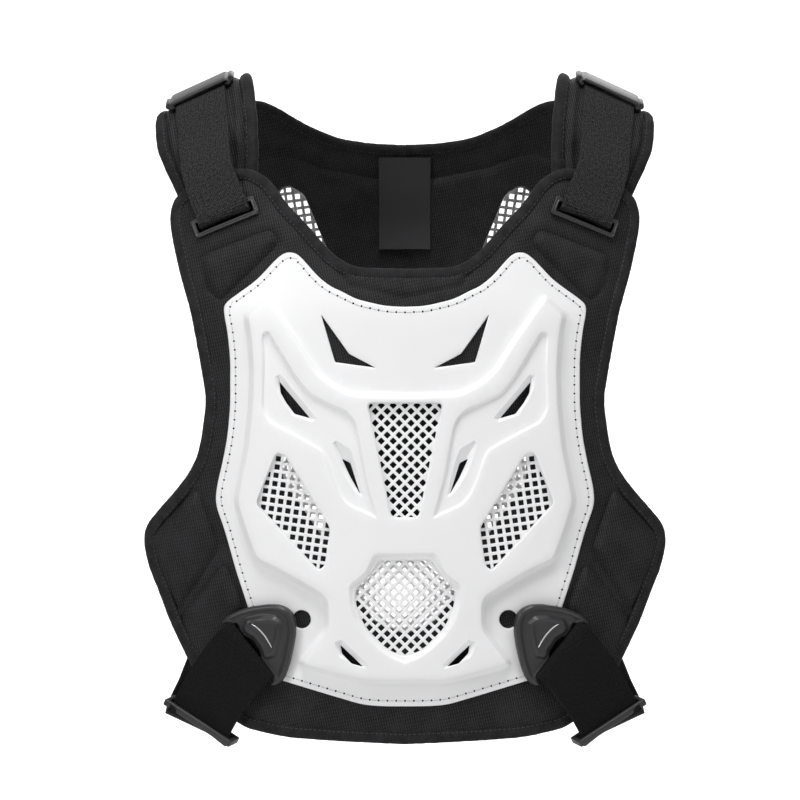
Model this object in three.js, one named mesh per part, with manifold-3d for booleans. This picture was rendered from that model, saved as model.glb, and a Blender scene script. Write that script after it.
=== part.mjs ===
// Motorcycle armour vest. A pierced hard plate is sewn on a padded front panel and another on a
// padded back panel. Two padded arches go over the shoulders. Elastic straps join the panels.
// Front is -Y, up is +Z, and the wearer's left is +X. The origin is where the vest sits on the
// shoulders: in the middle, at the underside of the shoulder pads. All lengths are millimetres.
import * as THREE from 'three';
import { mergeVertices } from 'three/addons/utils/BufferGeometryUtils.js';
import Module from 'manifold-3d';

const wasm = await Module();
wasm.setup();

// Front panel
const panelHalf = 192;        // half its width at the wings
const panelHeight = 416;
const panelTop = -45;         // top of its shoulder lobes
const chestDepth = 105;       // from the shoulder rest forward to the middle of its foam
const chestWrap = 55;         // how far its sides come back round the chest

// Back panel
const backHalf = 172;
const backHeight = 461;
const backTop = 16;
const spineDepth = 105;
const backWrap = 45;

// Padding and its bound edge
const foam = 9;
const hem = 5;                // foam pressed flat under the edge tape
const emboss = 2.5;           // moulded pads stand this far proud
const tapeWidth = 8.5;
const tapeWall = 1.3;
const gap = 0.3;              // between pieces that touch

// Moulded plates
const plateHalf = 137;
const plateHeight = 326;
const plateTop = -107;
const backPlateHalf = 122;
const backPlateHeight = 396;
const backPlateTop = -28;
const plateWall = 2.5;
const plateRise = 7;          // raised zone above the sewn flange
const plateSlope = 4.5;       // width of the slope round the raised zone
const recessDepth = 2.6;
const grilleWall = 2;
const grilleDrop = 3.6;       // how far a grille lies behind the raised face
const wellDraft = 1.5;        // how far a window narrows on its way in
const barWidth = 4.6;
const cellPitch = 14;
const keyholeRadius = 6.6;

// Shoulders
const padThickness = 10;
const padHalf = 37;
const padClear = 3;           // room between a pad and the curved panel that it lies on
const padEdge = 7;            // thickness at a pad's bound edge
const padBand = 8;            // width of the slope down to it
const ridgeHeight = 13;       // middle of the pad above the shoulder rest, at its highest
const strapWidth = 40;
const strapWall = 1.6;
const frameLength = 50;
const frameHeight = 14;
const frameBar = 3.2;
const frameWall = 3;
const frameTilt = 21;         // degrees, inner end high
const clipLength = 50;
const clipWidth = 24;
const clipWall = 3;
const strapEase = 1.4;        // lets the webbing clear the pad where both twist

// Sides
const sideWidth = 50;
const sideWall = 2.2;
const buckleWall = 7;
const buckleBar = 5;
const barWall = 3;
const buckleReach = 43;
const buckleSeat = 1.4;         // the flat buckle clears the curved plate by this much more
const postAlong = 2;          // hidden post, from the middle of the buckle's edge
const postIn = 36;
const postRadius = 2.4;
const sliderBar = 4;
const sliderDepth = 7;

// Neck tag
const tagWidth = 40;
const tagHeight = 70;
const tagWall = 1;

const radians = THREE.MathUtils.degToRad;

// A panel's middle surface is y = depth(x, z): a curve round the body plus a lean, both straight
// between stations, so that all layers bent over it stay parallel. Stations are shares of the half
// width, and none crosses a shoulder strap's slot.
const stationShares = [0, 0.3, 0.58, 0.8, 1];
const wrapPower = 2.2;

function piecewise(stations, value) {
  const last = stations.length - 1;
  if (value <= stations[0].at) return stations[0].y;
  for (let i = 0; i < last; i += 1) {
    const [a, b] = [stations[i], stations[i + 1]];
    if (value <= b.at) return a.y + (b.y - a.y) * (value - a.at) / (b.at - a.at);
  }
  return stations[last].y;
}

function bodySurface({ side, depth, wrap, half, top, height, lean }) {
  const shares = [...stationShares.slice(1).map((share) => -share).reverse(), ...stationShares];
  const across = shares.map((share) => ({
    at: share * half, y: side * (depth - wrap * Math.abs(share) ** wrapPower),
  }));
  const down = lean.map((row) => ({ at: top - row.down * height, y: -side * row.back * depth }));
  down.reverse();
  return { side, across, down, y: (x, z) => piecewise(across, x) + piecewise(down, z) };
}

const front = bodySurface({
  side: -1, depth: chestDepth, wrap: chestWrap, half: panelHalf, top: panelTop, height: panelHeight,
  lean: [
    { down: 0, back: 0.19 },
    { down: 0.11, back: 0.085 },
    { down: 0.25, back: 0 },
    { down: 0.75, back: 0 },
    { down: 1, back: 0.055 },
  ],
});

const rear = bodySurface({
  side: 1, depth: spineDepth, wrap: backWrap, half: backHalf, top: backTop, height: backHeight,
  lean: [
    { down: 0, back: 0.52 },
    { down: 0.045, back: 0.36 },
    { down: 0.11, back: 0.2 },
    { down: 0.21, back: 0.065 },
    { down: 0.36, back: 0 },
    { down: 1, back: 0.03 },
  ],
});

// Outlines are drawn flat, as points { x, z }.
const place = (rows, half, top, height) =>
  rows.map((row) => ({ x: row.across * half, z: top - row.down * height }));
const mirrored = (points) => points.map((p) => ({ x: -p.x, z: p.z })).reverse();

// A half outline from the top centre down to the bottom centre, closed by its mirror image.
function wholeOutline(rows, half, top, height) {
  const points = place(rows, half, top, height);
  return [...points, ...mirrored(points).slice(1, -1)];
}

function signedArea(points) {
  let sum = 0;
  points.forEach((p, i) => {
    const q = points[(i + 1) % points.length];
    sum += p.x * q.z - q.x * p.z;
  });
  return sum / 2;
}

// The outline moved inwards by a distance, with mitred corners. A negative distance grows it.
function inset(points, distance) {
  const turn = Math.sign(signedArea(points));
  const count = points.length;
  return points.map((p, i) => {
    const before = points[(i + count - 1) % count];
    const after = points[(i + 1) % count];
    const a = new THREE.Vector2(p.x - before.x, p.z - before.z).normalize();
    const b = new THREE.Vector2(after.x - p.x, after.z - p.z).normalize();
    const normal = new THREE.Vector2(-(a.y + b.y), a.x + b.x).normalize().multiplyScalar(turn);
    const reach = distance / Math.max(0.5, -a.y * normal.x * turn + a.x * normal.y * turn);
    return { x: p.x + normal.x * reach, z: p.z + normal.y * reach };
  });
}

// A closed mesh through rings of points. The rings are capped at both ends or joined in a loop.
function skin(rings, looped = false) {
  const size = rings[0].length;
  const corners = rings.flat();
  const faces = [];
  const spans = looped ? rings.length : rings.length - 1;
  for (let i = 0; i < spans; i += 1) {
    const next = (i + 1) % rings.length;
    for (let j = 0; j < size; j += 1) {
      const k = (j + 1) % size;
      const [a, b] = [i * size + j, i * size + k];
      const [c, d] = [next * size + j, next * size + k];
      faces.push(a, b, c, b, d, c);
    }
  }
  if (!looped) {
    const end = (rings.length - 1) * size;
    for (const [i, j, k] of capOf(rings[0])) faces.push(i, k, j);
    for (const [i, j, k] of capOf(rings.at(-1))) faces.push(end + i, end + j, end + k);
  }
  const geometry = new THREE.BufferGeometry().setFromPoints(corners);
  geometry.setIndex(faces);
  return outward(geometry);
}

// Triangles over one flat ring, seen in its own plane and turning as the ring does.
function capOf(ring) {
  const normal = new THREE.Vector3();
  ring.forEach((p, i) => {
    normal.add(new THREE.Vector3().crossVectors(p, ring[(i + 1) % ring.length]));
  });
  normal.normalize();
  const helper = Math.abs(normal.y) < 0.9 ? new THREE.Vector3(0, 1, 0) : new THREE.Vector3(1, 0, 0);
  const u = new THREE.Vector3().crossVectors(helper, normal).normalize();
  const v = new THREE.Vector3().crossVectors(normal, u);
  const flat = ring.map((p) => new THREE.Vector2(p.dot(u), p.dot(v)));
  return THREE.ShapeUtils.triangulateShape(flat, []);
}

function volumeOf(geometry) {
  const at = geometry.getAttribute('position');
  const index = geometry.index.array;
  const [a, b, c] = [new THREE.Vector3(), new THREE.Vector3(), new THREE.Vector3()];
  let sum = 0;
  for (let i = 0; i < index.length; i += 3) {
    a.fromBufferAttribute(at, index[i]);
    b.fromBufferAttribute(at, index[i + 1]);
    c.fromBufferAttribute(at, index[i + 2]);
    sum += a.dot(b.cross(c));
  }
  return sum / 6;
}

function outward(geometry) {
  if (volumeOf(geometry) > 0) return geometry;
  const index = Array.from(geometry.index.array);
  for (let i = 0; i < index.length; i += 3) [index[i + 1], index[i + 2]] = [index[i + 2], index[i + 1]];
  geometry.setIndex(index);
  return geometry;
}

const ringAt = (points, depth) => points.map((p) => new THREE.Vector3(p.x, depth, p.z));

// A body between two outlines of as many points, one at each depth. Equal outlines give a prism.
const between = (nearPoints, near, farPoints, far) => skin([
  ringAt(nearPoints, near), ringAt(farPoints, far),
]);
const prism = (points, near, far) => between(points, near, points, far);

// A soft edge tape round an outline: a channel that holds the hem, open inwards.
function tapeRound(points) {
  const outer = hem / 2 + gap + tapeWall;
  const inner = hem / 2 + gap;
  const section = [
    { in: tapeWidth, depth: -outer }, { in: 0, depth: -outer }, { in: 0, depth: outer },
    { in: tapeWidth, depth: outer }, { in: tapeWidth, depth: inner },
    { in: tapeWall, depth: inner }, { in: tapeWall, depth: -inner }, { in: tapeWidth, depth: -inner },
  ];
  const steps = section.map((corner) => inset(points, corner.in));
  return skin(points.map((_, i) => section.map(
    (corner, j) => new THREE.Vector3(steps[j][i].x, corner.depth, steps[j][i].z),
  )), true);
}

function toSolid(geometry) {
  const bare = geometry.index ? geometry.toNonIndexed() : geometry.clone();
  bare.deleteAttribute('normal');
  bare.deleteAttribute('uv');
  const merged = mergeVertices(bare, 1e-4);
  return new wasm.Manifold(new wasm.Mesh({
    numProp: 3,
    vertProperties: new Float32Array(merged.getAttribute('position').array),
    triVerts: new Uint32Array(merged.index.array),
  }));
}

function toGeometry(solid) {
  const mesh = solid.getMesh();
  const geometry = new THREE.BufferGeometry();
  geometry.setAttribute('position', new THREE.BufferAttribute(new Float32Array(mesh.vertProperties), 3));
  geometry.setIndex(new THREE.BufferAttribute(new Uint32Array(mesh.triVerts), 1));
  return geometry;
}

const joined = (...pieces) => toGeometry(
  pieces.map(toSolid).reduce((sum, piece) => sum.add(piece)),
);
const cut = (body, ...tools) => toGeometry(
  tools.map(toSolid).reduce((left, tool) => left.subtract(tool), toSolid(body)),
);

// Bends a flat body over a panel's middle surface. Its y becomes the distance from that surface.
// The body is cut along the stations, each cell is moved, and the cells meet again without walls.
function bend(geometry, surface) {
  const body = toSolid(geometry);
  const reach = 1000;
  const spans = (stations) => {
    const edges = [-reach, ...stations.slice(1, -1).map((station) => station.at), reach];
    return edges.slice(1).map((edge, i) => [edges[i], edge]);
  };
  const corners = [];
  for (const [left, right] of spans(surface.across)) {
    for (const [low, high] of spans(surface.down)) {
      const cell = [[left, low], [right, low], [right, high], [left, high]].map(([x, z]) => ({ x, z }));
      const piece = toGeometry(body.intersect(toSolid(prism(cell, -reach, reach)))).toNonIndexed();
      const at = piece.getAttribute('position').array;
      for (let i = 0; i < at.length; i += 9) {
        const face = [0, 3, 6].map((j) => [at[i + j], at[i + j + 1], at[i + j + 2]]);
        const onWall = (axis, value) => face.every((p) => Math.abs(p[axis] - value) < 1e-4);
        if (onWall(0, left) || onWall(0, right) || onWall(2, low) || onWall(2, high)) continue;
        corners.push(...face.map(([x, y, z]) => [x, y + surface.y(x, z), z]));
      }
    }
  }
  const bent = new THREE.BufferGeometry();
  bent.setAttribute('position', new THREE.Float32BufferAttribute(corners.flat(), 3));
  return welded(mergeVertices(bent, 1e-3));
}

// Splits each face whose open edge holds a corner of the cell beside it, until no edge is open.
function welded(geometry) {
  const at = geometry.getAttribute('position');
  const point = (i) => new THREE.Vector3().fromBufferAttribute(at, i);
  const index = geometry.index.array;
  let faces = [];
  for (let i = 0; i < index.length; i += 3) faces.push([index[i], index[i + 1], index[i + 2]]);
  for (;;) {
    const edges = new Set(faces.flatMap(([a, b, c]) => [`${a}_${b}`, `${b}_${c}`, `${c}_${a}`]));
    const isOpen = (a, b) => !edges.has(`${b}_${a}`);
    const loose = new Set(faces.flatMap((face) => face.filter((a, i) => isOpen(a, face[(i + 1) % 3]))));
    const cornerOn = (a, b) => [...loose].find((v) => {
      if (v === a || v === b) return false;
      const edge = new THREE.Line3(point(a), point(b));
      const share = edge.closestPointToPointParameter(point(v), false);
      return share > 0 && share < 1 && edge.at(share, new THREE.Vector3()).distanceTo(point(v)) < 2e-3;
    });
    let split = false;
    faces = faces.flatMap((face) => {
      for (let i = 0; i < 3; i += 1) {
        const [a, b, c] = [face[i], face[(i + 1) % 3], face[(i + 2) % 3]];
        const middle = isOpen(a, b) ? cornerOn(a, b) : undefined;
        if (middle !== undefined && middle !== c) {
          split = true;
          return [[a, middle, c], [middle, b, c]];
        }
      }
      return [face];
    });
    if (!split) break;
  }
  const whole = geometry.clone();
  whole.setIndex(faces.flat());
  return whole;
}

// A point on a panel, a distance in front of or behind the middle of its foam.
const onPanel = (surface, x, z, offset) => new THREE.Vector3(x, surface.y(x, z) + offset, z);

// How a panel's surface rises along a way { x, y } in the x-z plane, measured over a step.
function slopeOf(surface, x, z, way, step) {
  const ahead = surface.y(x + step * way.x, z + step * way.y);
  return (ahead - surface.y(x - step * way.x, z - step * way.y)) / (2 * step);
}

// Cross-sections along a smooth path through rows { point, across, half }.
function sectionsAlong(rows, steps) {
  const path = new THREE.CatmullRomCurve3(rows.map((row) => row.point), false, 'centripetal');
  return Array.from({ length: steps + 1 }, (_, i) => {
    const share = i / steps;
    const spot = share * (rows.length - 1);
    const row = Math.min(Math.floor(spot), rows.length - 2);
    const [a, b] = [rows[row], rows[row + 1]];
    const along = path.getTangent(share);
    const across = a.across.clone().lerp(b.across, spot - row);
    across.addScaledVector(along, -across.dot(along)).normalize();
    return {
      point: path.getPoint(share),
      along,
      across,
      out: new THREE.Vector3().crossVectors(across, along),
      half: a.half + (b.half - a.half) * (spot - row),
    };
  });
}

// A point of a cross-section: u across it, v out of the body, w along the path.
const inSection = (section, u, v, w = 0) => section.point.clone()
  .addScaledVector(section.across, u)
  .addScaledVector(section.out, v)
  .addScaledVector(section.along, w);

// The same sections followed the other way.
const backwards = (sections) => sections.map((section) => ({
  ...section, along: section.along.clone().negate(), out: section.out.clone().negate(),
})).reverse();

const lifted = (section, height, half) => ({ ...section, point: inSection(section, 0, height), half });

// Flat webbing through cross-sections.
function webbing(sections, wall) {
  return skin(sections.map((section) => [[-1, -1], [1, -1], [1, 1], [-1, 1]]
    .map(([u, v]) => inSection(section, u * section.half, v * wall / 2))));
}

// A profile { u, v } drawn in one cross-section and drawn out along the path.
const drawnOut = (section, profile, from, to) => skin([from, to].map(
  (w) => profile.map(([u, v]) => inSection(section, u, v, w)),
));

const vest = new THREE.Group();
const finishes = {
  plate: { color: 0xf0f0f1, roughness: 0.35, metalness: 0 },
  padding: { color: 0x1e1e20, roughness: 0.9, metalness: 0 },
  tape: { color: 0x2e2e2f, roughness: 0.85, metalness: 0 },
  webbing: { color: 0x262627, roughness: 0.9, metalness: 0 },
  moulding: { color: 0x2f2e30, roughness: 0.45, metalness: 0 },
  label: { color: 0x3a3a3b, roughness: 0.5, metalness: 0 },
};

function add(name, geometry, finish) {
  const mesh = new THREE.Mesh(geometry, new THREE.MeshStandardMaterial(finishes[finish]));
  mesh.name = name;
  vest.add(mesh);
}

const flipped = (geometry) => outward(indexed(geometry.clone().scale(-1, 1, 1)));
const indexed = (geometry) => (geometry.index ? geometry : mergeVertices(geometry, 1e-4));

// The same piece for the wearer's left (+X) and, mirrored, for the right.
function addPair(name, geometry, finish) {
  add(`left_${name}`, geometry, finish);
  add(`right_${name}`, flipped(geometry), finish);
}

const bothSides = (geometry) => [geometry, flipped(geometry)];

// Front panel outline, as shares of its half width and of its height below the lobes.
const panelRows = [
  { across: 0, down: 0.181 }, { across: 0.188, down: 0.178 }, { across: 0.26, down: 0.158 },
  { across: 0.325, down: 0.129 }, { across: 0.441, down: 0.067 },
  { across: 0.507, down: 0.026 }, { across: 0.566, down: 0.006 }, { across: 0.67, down: 0 },
  { across: 0.801, down: 0.02 }, { across: 0.868, down: 0.043 },
  { across: 0.9, down: 0.084 }, { across: 0.853, down: 0.189 },
  { across: 0.776, down: 0.336 }, { across: 0.75, down: 0.407 },
  { across: 0.77, down: 0.478 }, { across: 0.818, down: 0.534 }, { across: 0.876, down: 0.569 },
  { across: 0.945, down: 0.601 }, { across: 0.991, down: 0.629 }, { across: 1, down: 0.658 },
  { across: 0.979, down: 0.7 }, { across: 0.82, down: 0.865 },
  { across: 0.741, down: 0.929 }, { across: 0.608, down: 0.976 }, { across: 0.449, down: 0.992 },
  { across: 0, down: 1 },
];
const onFront = (rows) => place(rows, panelHalf, panelTop, panelHeight);
const panelOutline = wholeOutline(panelRows, panelHalf, panelTop, panelHeight);

// Moulded pads in the wearer's left half of the front panel.
const embossRows = {
  chest: [
    { across: 0.52, down: 0.106 }, { across: 0.484, down: 0.126 }, { across: 0.702, down: 0.222 },
    { across: 0.746, down: 0.199 }, { across: 0.79, down: 0.15 }, { across: 0.72, down: 0.146 },
  ],
  upperWing: [
    { across: 0.935, down: 0.655 }, { across: 0.80, down: 0.575 }, { across: 0.75, down: 0.65 },
    { across: 0.862, down: 0.76 },
  ],
  lowerWing: [
    { across: 0.84, down: 0.795 }, { across: 0.745, down: 0.7 }, { across: 0.735, down: 0.76 },
    { across: 0.80, down: 0.835 },
  ],
};

// Plate outline and raised zone, as shares of the plate's half width and height.
const plateRows = [
  { across: 0, down: 0.127 }, { across: 0.258, down: 0.107 }, { across: 0.388, down: 0.081 },
  { across: 0.454, down: 0.057 }, { across: 0.551, down: 0.013 }, { across: 0.581, down: 0.003 },
  { across: 0.625, down: 0 }, { across: 0.669, down: 0.016 }, { across: 0.781, down: 0.065 },
  { across: 0.95, down: 0.114 }, { across: 0.96, down: 0.131 }, { across: 0.937, down: 0.179 },
  { across: 0.918, down: 0.291 }, { across: 0.934, down: 0.409 }, { across: 0.99, down: 0.521 },
  { across: 1, down: 0.56 }, { across: 0.952, down: 0.617 }, { across: 0.822, down: 0.786 },
  { across: 0.698, down: 0.94 }, { across: 0.626, down: 0.949 }, { across: 0.423, down: 0.973 },
  { across: 0.22, down: 0.999 }, { across: 0, down: 1 },
];
const raisedRows = [
  { across: 0, down: 0.313 }, { across: 0.274, down: 0.31 }, { across: 0.379, down: 0.289 },
  { across: 0.45, down: 0.263 }, { across: 0.563, down: 0.193 }, { across: 0.675, down: 0.122 },
  { across: 0.733, down: 0.093 }, { across: 0.854, down: 0.138 }, { across: 0.83, down: 0.185 },
  { across: 0.814, down: 0.263 }, { across: 0.822, down: 0.347 }, { across: 0.847, down: 0.432 },
  { across: 0.881, down: 0.506 }, { across: 0.907, down: 0.552 }, { across: 0.858, down: 0.611 },
  { across: 0.792, down: 0.683 }, { across: 0.662, down: 0.709 }, { across: 0.532, down: 0.74 },
  { across: 0.435, down: 0.766 }, { across: 0.42, down: 0.829 }, { across: 0.565, down: 0.895 },
  { across: 0.222, down: 0.95 }, { across: 0, down: 0.95 },
];
const onPlate = (rows) => place(rows, plateHalf, plateTop, plateHeight);
const plateOutline = wholeOutline(plateRows, plateHalf, plateTop, plateHeight);
const raisedOutline = wholeOutline(raisedRows, plateHalf, plateTop, plateHeight);

// The channel that crosses the raised zone, and the vents, in the wearer's left half.
const channelRows = [
  { across: 0.716, down: 0.174 }, { across: 0.643, down: 0.225 }, { across: 0.563, down: 0.28 },
  { across: 0.499, down: 0.325 }, { across: 0.394, down: 0.338 }, { across: 0.305, down: 0.351 },
  { across: 0.258, down: 0.374 }, { across: 0.234, down: 0.42 }, { across: 0.193, down: 0.503 },
  { across: 0.139, down: 0.59 }, { across: 0.297, down: 0.56 }, { across: 0.34, down: 0.537 },
  { across: 0.379, down: 0.504 }, { across: 0.434, down: 0.441 }, { across: 0.515, down: 0.421 },
  { across: 0.627, down: 0.397 }, { across: 0.716, down: 0.378 }, { across: 0.755, down: 0.347 },
  { across: 0.742, down: 0.245 }, { across: 0.755, down: 0.186 },
];
const ventRows = [
  [
    { across: 0.441, down: 0.14 }, { across: 0.289, down: 0.226 }, { across: 0.153, down: 0.256 },
    { across: 0.363, down: 0.245 },
  ],
  [
    { across: 0.66, down: 0.287 }, { across: 0.496, down: 0.368 }, { across: 0.575, down: 0.359 },
    { across: 0.618, down: 0.333 },
  ],
  [
    { across: 0.325, down: 0.456 }, { across: 0.27, down: 0.47 }, { across: 0.231, down: 0.533 },
    { across: 0.29, down: 0.5 },
  ],
  [
    { across: 0.336, down: 0.864 }, { across: 0.219, down: 0.91 }, { across: 0.29, down: 0.904 },
    { across: 0.334, down: 0.885 },
  ],
];

// Windows with a grille. A row's outline starts at the top centre where it crosses the middle.
const centreWindow = [
  { across: 0, down: 0.336 }, { across: 0.17, down: 0.336 }, { across: 0.195, down: 0.348 },
  { across: 0.08, down: 0.575 }, { across: 0.06, down: 0.586 }, { across: 0, down: 0.586 },
];
const shieldWindow = [
  { across: 0, down: 0.664 }, { across: 0.163, down: 0.664 }, { across: 0.201, down: 0.703 },
  { across: 0.284, down: 0.735 }, { across: 0.282, down: 0.773 }, { across: 0.226, down: 0.831 },
  { across: 0.108, down: 0.883 }, { across: 0, down: 0.903 },
];
const sideWindow = [
  { across: 0.675, down: 0.442 }, { across: 0.618, down: 0.451 }, { across: 0.386, down: 0.608 },
  { across: 0.412, down: 0.693 }, { across: 0.449, down: 0.702 }, { across: 0.779, down: 0.554 },
];

function isInside(points, p) {
  let inside = false;
  points.forEach((a, i) => {
    const b = points[(i + 1) % points.length];
    if ((a.z > p.z) !== (b.z > p.z) && p.x < (b.x - a.x) * (p.z - a.z) / (b.z - a.z) + a.x) {
      inside = !inside;
    }
  });
  return inside;
}

// Square cells of a net, turned by an angle, that lie whole inside a window.
function netCells(window, turn, near, far) {
  const rim = inset(window, wellDraft);
  const middle = new THREE.Box2().setFromPoints(window.map((p) => new THREE.Vector2(p.x, p.z)));
  const centre = middle.getCenter(new THREE.Vector2());
  const reach = Math.ceil(middle.getSize(new THREE.Vector2()).length() / 2 / cellPitch);
  const half = (cellPitch - barWidth) / 2;
  const [c, s] = [Math.cos(radians(turn)), Math.sin(radians(turn))];
  const turned = (u, v) => ({ x: centre.x + u * c - v * s, z: centre.y + u * s + v * c });
  const cells = [];
  for (let i = -reach; i <= reach; i += 1) {
    for (let j = -reach; j <= reach; j += 1) {
      const corners = [[-1, -1], [1, -1], [1, 1], [-1, 1]]
        .map(([a, b]) => turned(i * cellPitch + a * half, j * cellPitch + b * half));
      if (corners.every((p) => isInside(rim, p))) cells.push(prism(corners, near, far));
    }
  }
  return cells;
}

// A hollow moulded plate on the outer face of a panel. `side` is -1 on the chest and 1 on the back.
function mouldedPlate({ side, outline, raised, channels, vents, windows, extraCuts = [] }) {
  const back = side * (foam / 2 + gap);
  const flange = back + side * plateWall;
  const face = flange + side * plateRise;
  const grilleFront = face - side * grilleDrop;
  const grilleBack = grilleFront - side * grilleWall;
  const shallow = face - side * recessDepth;
  const beyond = face + side;

  const shell = joined(
    prism(outline, back, flange),
    between(raised, flange - side * plateWall / 2, inset(raised, plateSlope), face),
  );
  let hollow = between(
    inset(raised, plateWall), back - side,
    inset(raised, plateSlope + plateWall), face - side * plateWall,
  );
  for (const rows of channels) {
    const floor = inset(rows, -plateWall);
    hollow = cut(hollow, prism(floor, shallow - side * plateWall, beyond));
  }
  for (const rows of [...vents, ...windows.map((w) => w.outline)]) {
    hollow = cut(hollow, prism(inset(rows, -plateWall - 1), back - 2 * side, beyond));
  }
  const recesses = channels.map((rows) => between(inset(rows, recessDepth), shallow, rows, beyond));
  const wells = windows.map((w) => between(
    inset(w.outline, wellDraft), grilleFront, inset(w.outline, -wellDraft / 2), beyond,
  ));
  const pockets = windows.map((w) => prism(inset(w.outline, wellDraft / 2), back - side, grilleBack));
  const holes = vents.map((rows) => prism(rows, back - side, beyond));
  const cells = windows.flatMap((w) => netCells(w.outline, w.turn, grilleBack - side, beyond));
  return cut(shell, hollow, ...recesses, ...wells, ...pockets, ...holes, ...cells, ...extraCuts);
}

const mirrorAll = (outlines) => outlines.flatMap((points) => [points, mirrored(points)]);

const buckleCentre = onPlate([{ across: 0.82, down: 0.888 }])[0];
const edgeWay = new THREE.Vector2(0.635, 0.772).normalize();
const inWay = new THREE.Vector2(-edgeWay.y, edgeWay.x);

// The buckle is rigid: it lies flat against the curve, `along` its edge, `in` towards the middle.
const buckleMiddle = {
  x: buckleCentre.x + inWay.x * buckleReach / 2,
  z: buckleCentre.z + inWay.y * buckleReach / 2,
};
const leanOf = (way) => slopeOf(front, buckleMiddle.x, buckleMiddle.z, way, buckleReach / 2);
const alongEdge = new THREE.Vector3(edgeWay.x, leanOf(edgeWay), edgeWay.y).normalize();
const towardsMiddle = new THREE.Vector3(inWay.x, leanOf(inWay), inWay.y);
towardsMiddle.addScaledVector(alongEdge, -towardsMiddle.dot(alongEdge)).normalize();
const buckleFrame = new THREE.Matrix4().makeBasis(
  alongEdge, new THREE.Vector3().crossVectors(towardsMiddle, alongEdge), towardsMiddle,
);
const buckleEdge = onPanel(front, buckleMiddle.x, buckleMiddle.z, 0)
  .addScaledVector(towardsMiddle, -buckleReach / 2);
buckleFrame.setPosition(buckleEdge);
const onBuckle = (along, inwards, offset) => new THREE.Vector3(along, offset, inwards)
  .applyMatrix4(buckleFrame);

// Keyhole in the plate's lower corner, which the side buckle's post drops into.
const keyhole = onPlate([{ across: 0.542, down: 0.81 }])[0];
const postSpot = onBuckle(postAlong, postIn, -(foam / 2 + plateWall / 2));
function disc(centre, radius, sides) {
  return Array.from({ length: sides }, (_, i) => ({
    x: centre.x + radius * Math.cos(2 * Math.PI * i / sides),
    z: centre.z + radius * Math.sin(2 * Math.PI * i / sides),
  }));
}
const slotHalf = postRadius + 3 * gap;
const keyway = [
  { x: keyhole.x, z: keyhole.z + slotHalf }, { x: keyhole.x, z: keyhole.z - slotHalf },
  { x: postSpot.x + slotHalf, z: postSpot.z - slotHalf },
  { x: postSpot.x + slotHalf, z: postSpot.z + slotHalf },
];
const plateNear = -(foam / 2 + gap) + 1;
const plateFar = -(foam / 2 + plateWall + plateRise) - 2;
const keyholeCuts = [disc(keyhole, keyholeRadius, 12), keyway]
  .flatMap((points) => bothSides(prism(points, plateNear, plateFar)));

const windowOf = (rows) => wholeOutline(rows, plateHalf, plateTop, plateHeight);
const sideWindows = mirrorAll([onPlate(sideWindow)]);
const frontWindows = [
  { outline: windowOf(centreWindow), turn: 45 },
  { outline: windowOf(shieldWindow), turn: 45 },
  { outline: sideWindows[0], turn: -8 },
  { outline: sideWindows[1], turn: 8 },
];
const frontVents = mirrorAll(ventRows.map(onPlate));
add('front_plate', bend(mouldedPlate({
  side: -1,
  outline: plateOutline,
  raised: raisedOutline,
  channels: mirrorAll([onPlate(channelRows)]),
  vents: frontVents,
  windows: frontWindows,
  extraCuts: keyholeCuts,
}), front), 'plate');

// Slot frames at the tops of the front panel, in a frame-shaped place of their own.
const slotCentre = onFront([{ across: 0.682, down: 0.087 }])[0];
function slotBox(length, height) {
  const [c, s] = [Math.cos(radians(frameTilt)), Math.sin(radians(frameTilt))];
  return [[-1, -1], [1, -1], [1, 1], [-1, 1]].map(([a, b]) => ({
    x: slotCentre.x + a * length / 2 * c + b * height / 2 * s,
    z: slotCentre.z - a * length / 2 * s + b * height / 2 * c,
  }));
}
const slotHole = slotBox(frameLength - 2 * frameBar, frameHeight - 2 * frameBar);

// Padding: a hem, a thicker middle and raised pads, cut open behind the windows.
function paddedPanel({ outline, side, pads, holes, band = tapeWidth + gap }) {
  const outer = side * (foam / 2 + emboss);
  const body = joined(
    prism(inset(outline, tapeWall + gap), -hem / 2, hem / 2),
    between(inset(outline, band), -foam / 2, inset(outline, band), foam / 2),
    ...pads.map((points) => between(points, 0, inset(points, emboss), outer)),
  );
  return cut(body, ...holes.map((points) => prism(points, -foam, foam)));
}

const behindWindows = [frontWindows[1], frontWindows[2], frontWindows[3]].map((w) => w.outline);
add('front_panel', bend(paddedPanel({
  outline: panelOutline,
  side: -1,
  pads: mirrorAll(Object.values(embossRows).map(onFront)),
  holes: [...behindWindows, ...mirrorAll([slotHole])],
}), front), 'padding');
add('front_edge_tape', bend(tapeRound(panelOutline), front), 'tape');

const frameBack = -(foam / 2 + gap);
const frameRing = cut(
  prism(slotBox(frameLength, frameHeight), frameBack, frameBack - frameWall),
  prism(slotHole, frameBack + 1, frameBack - frameWall - 1),
);
addPair('slot_frame', bend(frameRing, front), 'moulding');

// Back panel outline, as shares of its half width and height.
const backRows = [
  { across: 0, down: 0.069 }, { across: 0.151, down: 0.067 }, { across: 0.3, down: 0.06 },
  { across: 0.448, down: 0.038 }, { across: 0.555, down: 0.015 }, { across: 0.62, down: 0.004 },
  { across: 0.67, down: 0.002 }, { across: 0.87, down: 0.04 }, { across: 0.975, down: 0.062 },
  { across: 1, down: 0.09 }, { across: 0.965, down: 0.17 }, { across: 0.91, down: 0.27 },
  { across: 0.875, down: 0.37 }, { across: 0.86, down: 0.48 }, { across: 0.87, down: 0.56 },
  { across: 0.925, down: 0.64 }, { across: 0.985, down: 0.7 }, { across: 1, down: 0.77 },
  { across: 0.955, down: 0.86 }, { across: 0.86, down: 0.94 }, { across: 0.72, down: 0.98 },
  { across: 0.45, down: 0.99 }, { across: 0, down: 1 },
];
const backOutline = wholeOutline(backRows, backHalf, backTop, backHeight);
const onBackPlate = (rows) => place(rows, backPlateHalf, backPlateTop, backPlateHeight);

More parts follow.
